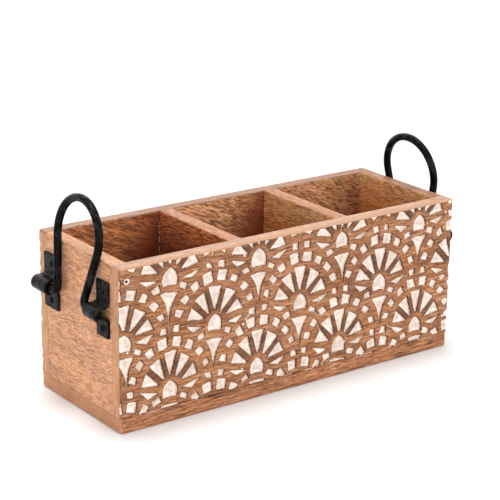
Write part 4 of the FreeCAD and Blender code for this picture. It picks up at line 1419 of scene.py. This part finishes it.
class CADDY_OT_nails(bpy.types.Operator):
    """Makes the straps' domed nails, and finishes the brads and the base's nails"""

    bl_idname = "caddy.nails"
    bl_label = "Nails"

    def execute(self, context):
        iron = context.scene.caddy_iron
        seat = HALF_LENGTH + iron.strap_thickness
        for side, sign in SIDES.items():
            for face, way in FACES.items():
                name = side + "_" + face + "_strap_nails"
                low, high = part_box(name)
                length = high.x - low.x - iron.nail_dome
                sheets = []
                for step, z in enumerate((low.z + iron.nail_head / 2, high.z - iron.nail_head / 2)):
                    seed = NAIL_SEED + 5 * sign + way + 20 * step
                    sheets += nail_sheets(iron, seat, (low.y + high.y) / 2, z, length, sign, seed)
                make_piece(name + "_iron", sheets, ["blackened_iron_strap"], "box", [name])
        for name, node in frame["nodes"].items():
            if name.endswith("brads") or name in BASE_NAIL_COLUMNS:
                node.material_slots[0].material = finish("steel_wire")
        return {"FINISHED"}


class CADDY_OT_bails(bpy.types.Operator):
    """Bends the two bail handles"""

    bl_idname = "caddy.bails"
    bl_label = "Bails"

    def execute(self, context):
        for side, sign in SIDES.items():
            sheets = bail_sheets(context.scene.caddy_iron, side, BAIL_SEED + sign)
            make_piece(side + "_bail_rod", sheets, ["blackened_iron_rod"], side + "_bail",
                       [side + "_bail_handle"])
        return {"FINISHED"}


class CADDY_OT_stage(bpy.types.Operator):
    """Sets the floor, the light and the camera"""

    bl_idname = "caddy.stage"
    bl_label = "Stage"

    def execute(self, context):
        make_floor()
        make_world(context.scene)
        make_lamps()
        make_camera(context.scene)
        context.scene.view_settings.view_transform = "Standard"
        return {"FINISHED"}


class CADDY_PT_sidebar(bpy.types.Panel):
    """Lists the steps that build the caddy"""

    bl_idname = "CADDY_PT_sidebar"
    bl_label = "Carved Utensil Caddy"
    bl_space_type = "VIEW_3D"
    bl_region_type = "UI"
    bl_category = "Caddy"

    def draw(self, context):
        for operator in OPERATORS:
            self.layout.operator(operator.bl_idname)


OPERATORS = (
    CADDY_OT_carved_panels,
    CADDY_OT_plain_boards,
    CADDY_OT_straps,
    CADDY_OT_nails,
    CADDY_OT_bails,
    CADDY_OT_stage,
)
GROUPS = {
    "caddy_carving": CaddyCarving,
    "caddy_boards": CaddyBoards,
    "caddy_iron": CaddyIron,
    "caddy_colours": CaddyColours,
}


def register():
    for group in (*GROUPS.values(), *OPERATORS, CADDY_PT_sidebar):
        bpy.utils.register_class(group)
    for name, group in GROUPS.items():
        setattr(bpy.types.Scene, name, PointerProperty(type=group))


def unregister():
    for name in GROUPS:
        delattr(bpy.types.Scene, name)
    for group in (CADDY_PT_sidebar, *reversed(OPERATORS), *reversed(GROUPS.values())):
        bpy.utils.unregister_class(group)


def main():
    """Builds the caddy and its stage."""
    register()
    bpy.ops.caddy.carved_panels()
    bpy.ops.caddy.plain_boards()
    bpy.ops.caddy.straps()
    bpy.ops.caddy.nails()
    bpy.ops.caddy.bails()
    bpy.ops.caddy.stage()


if __name__ == "__main__":
    main()
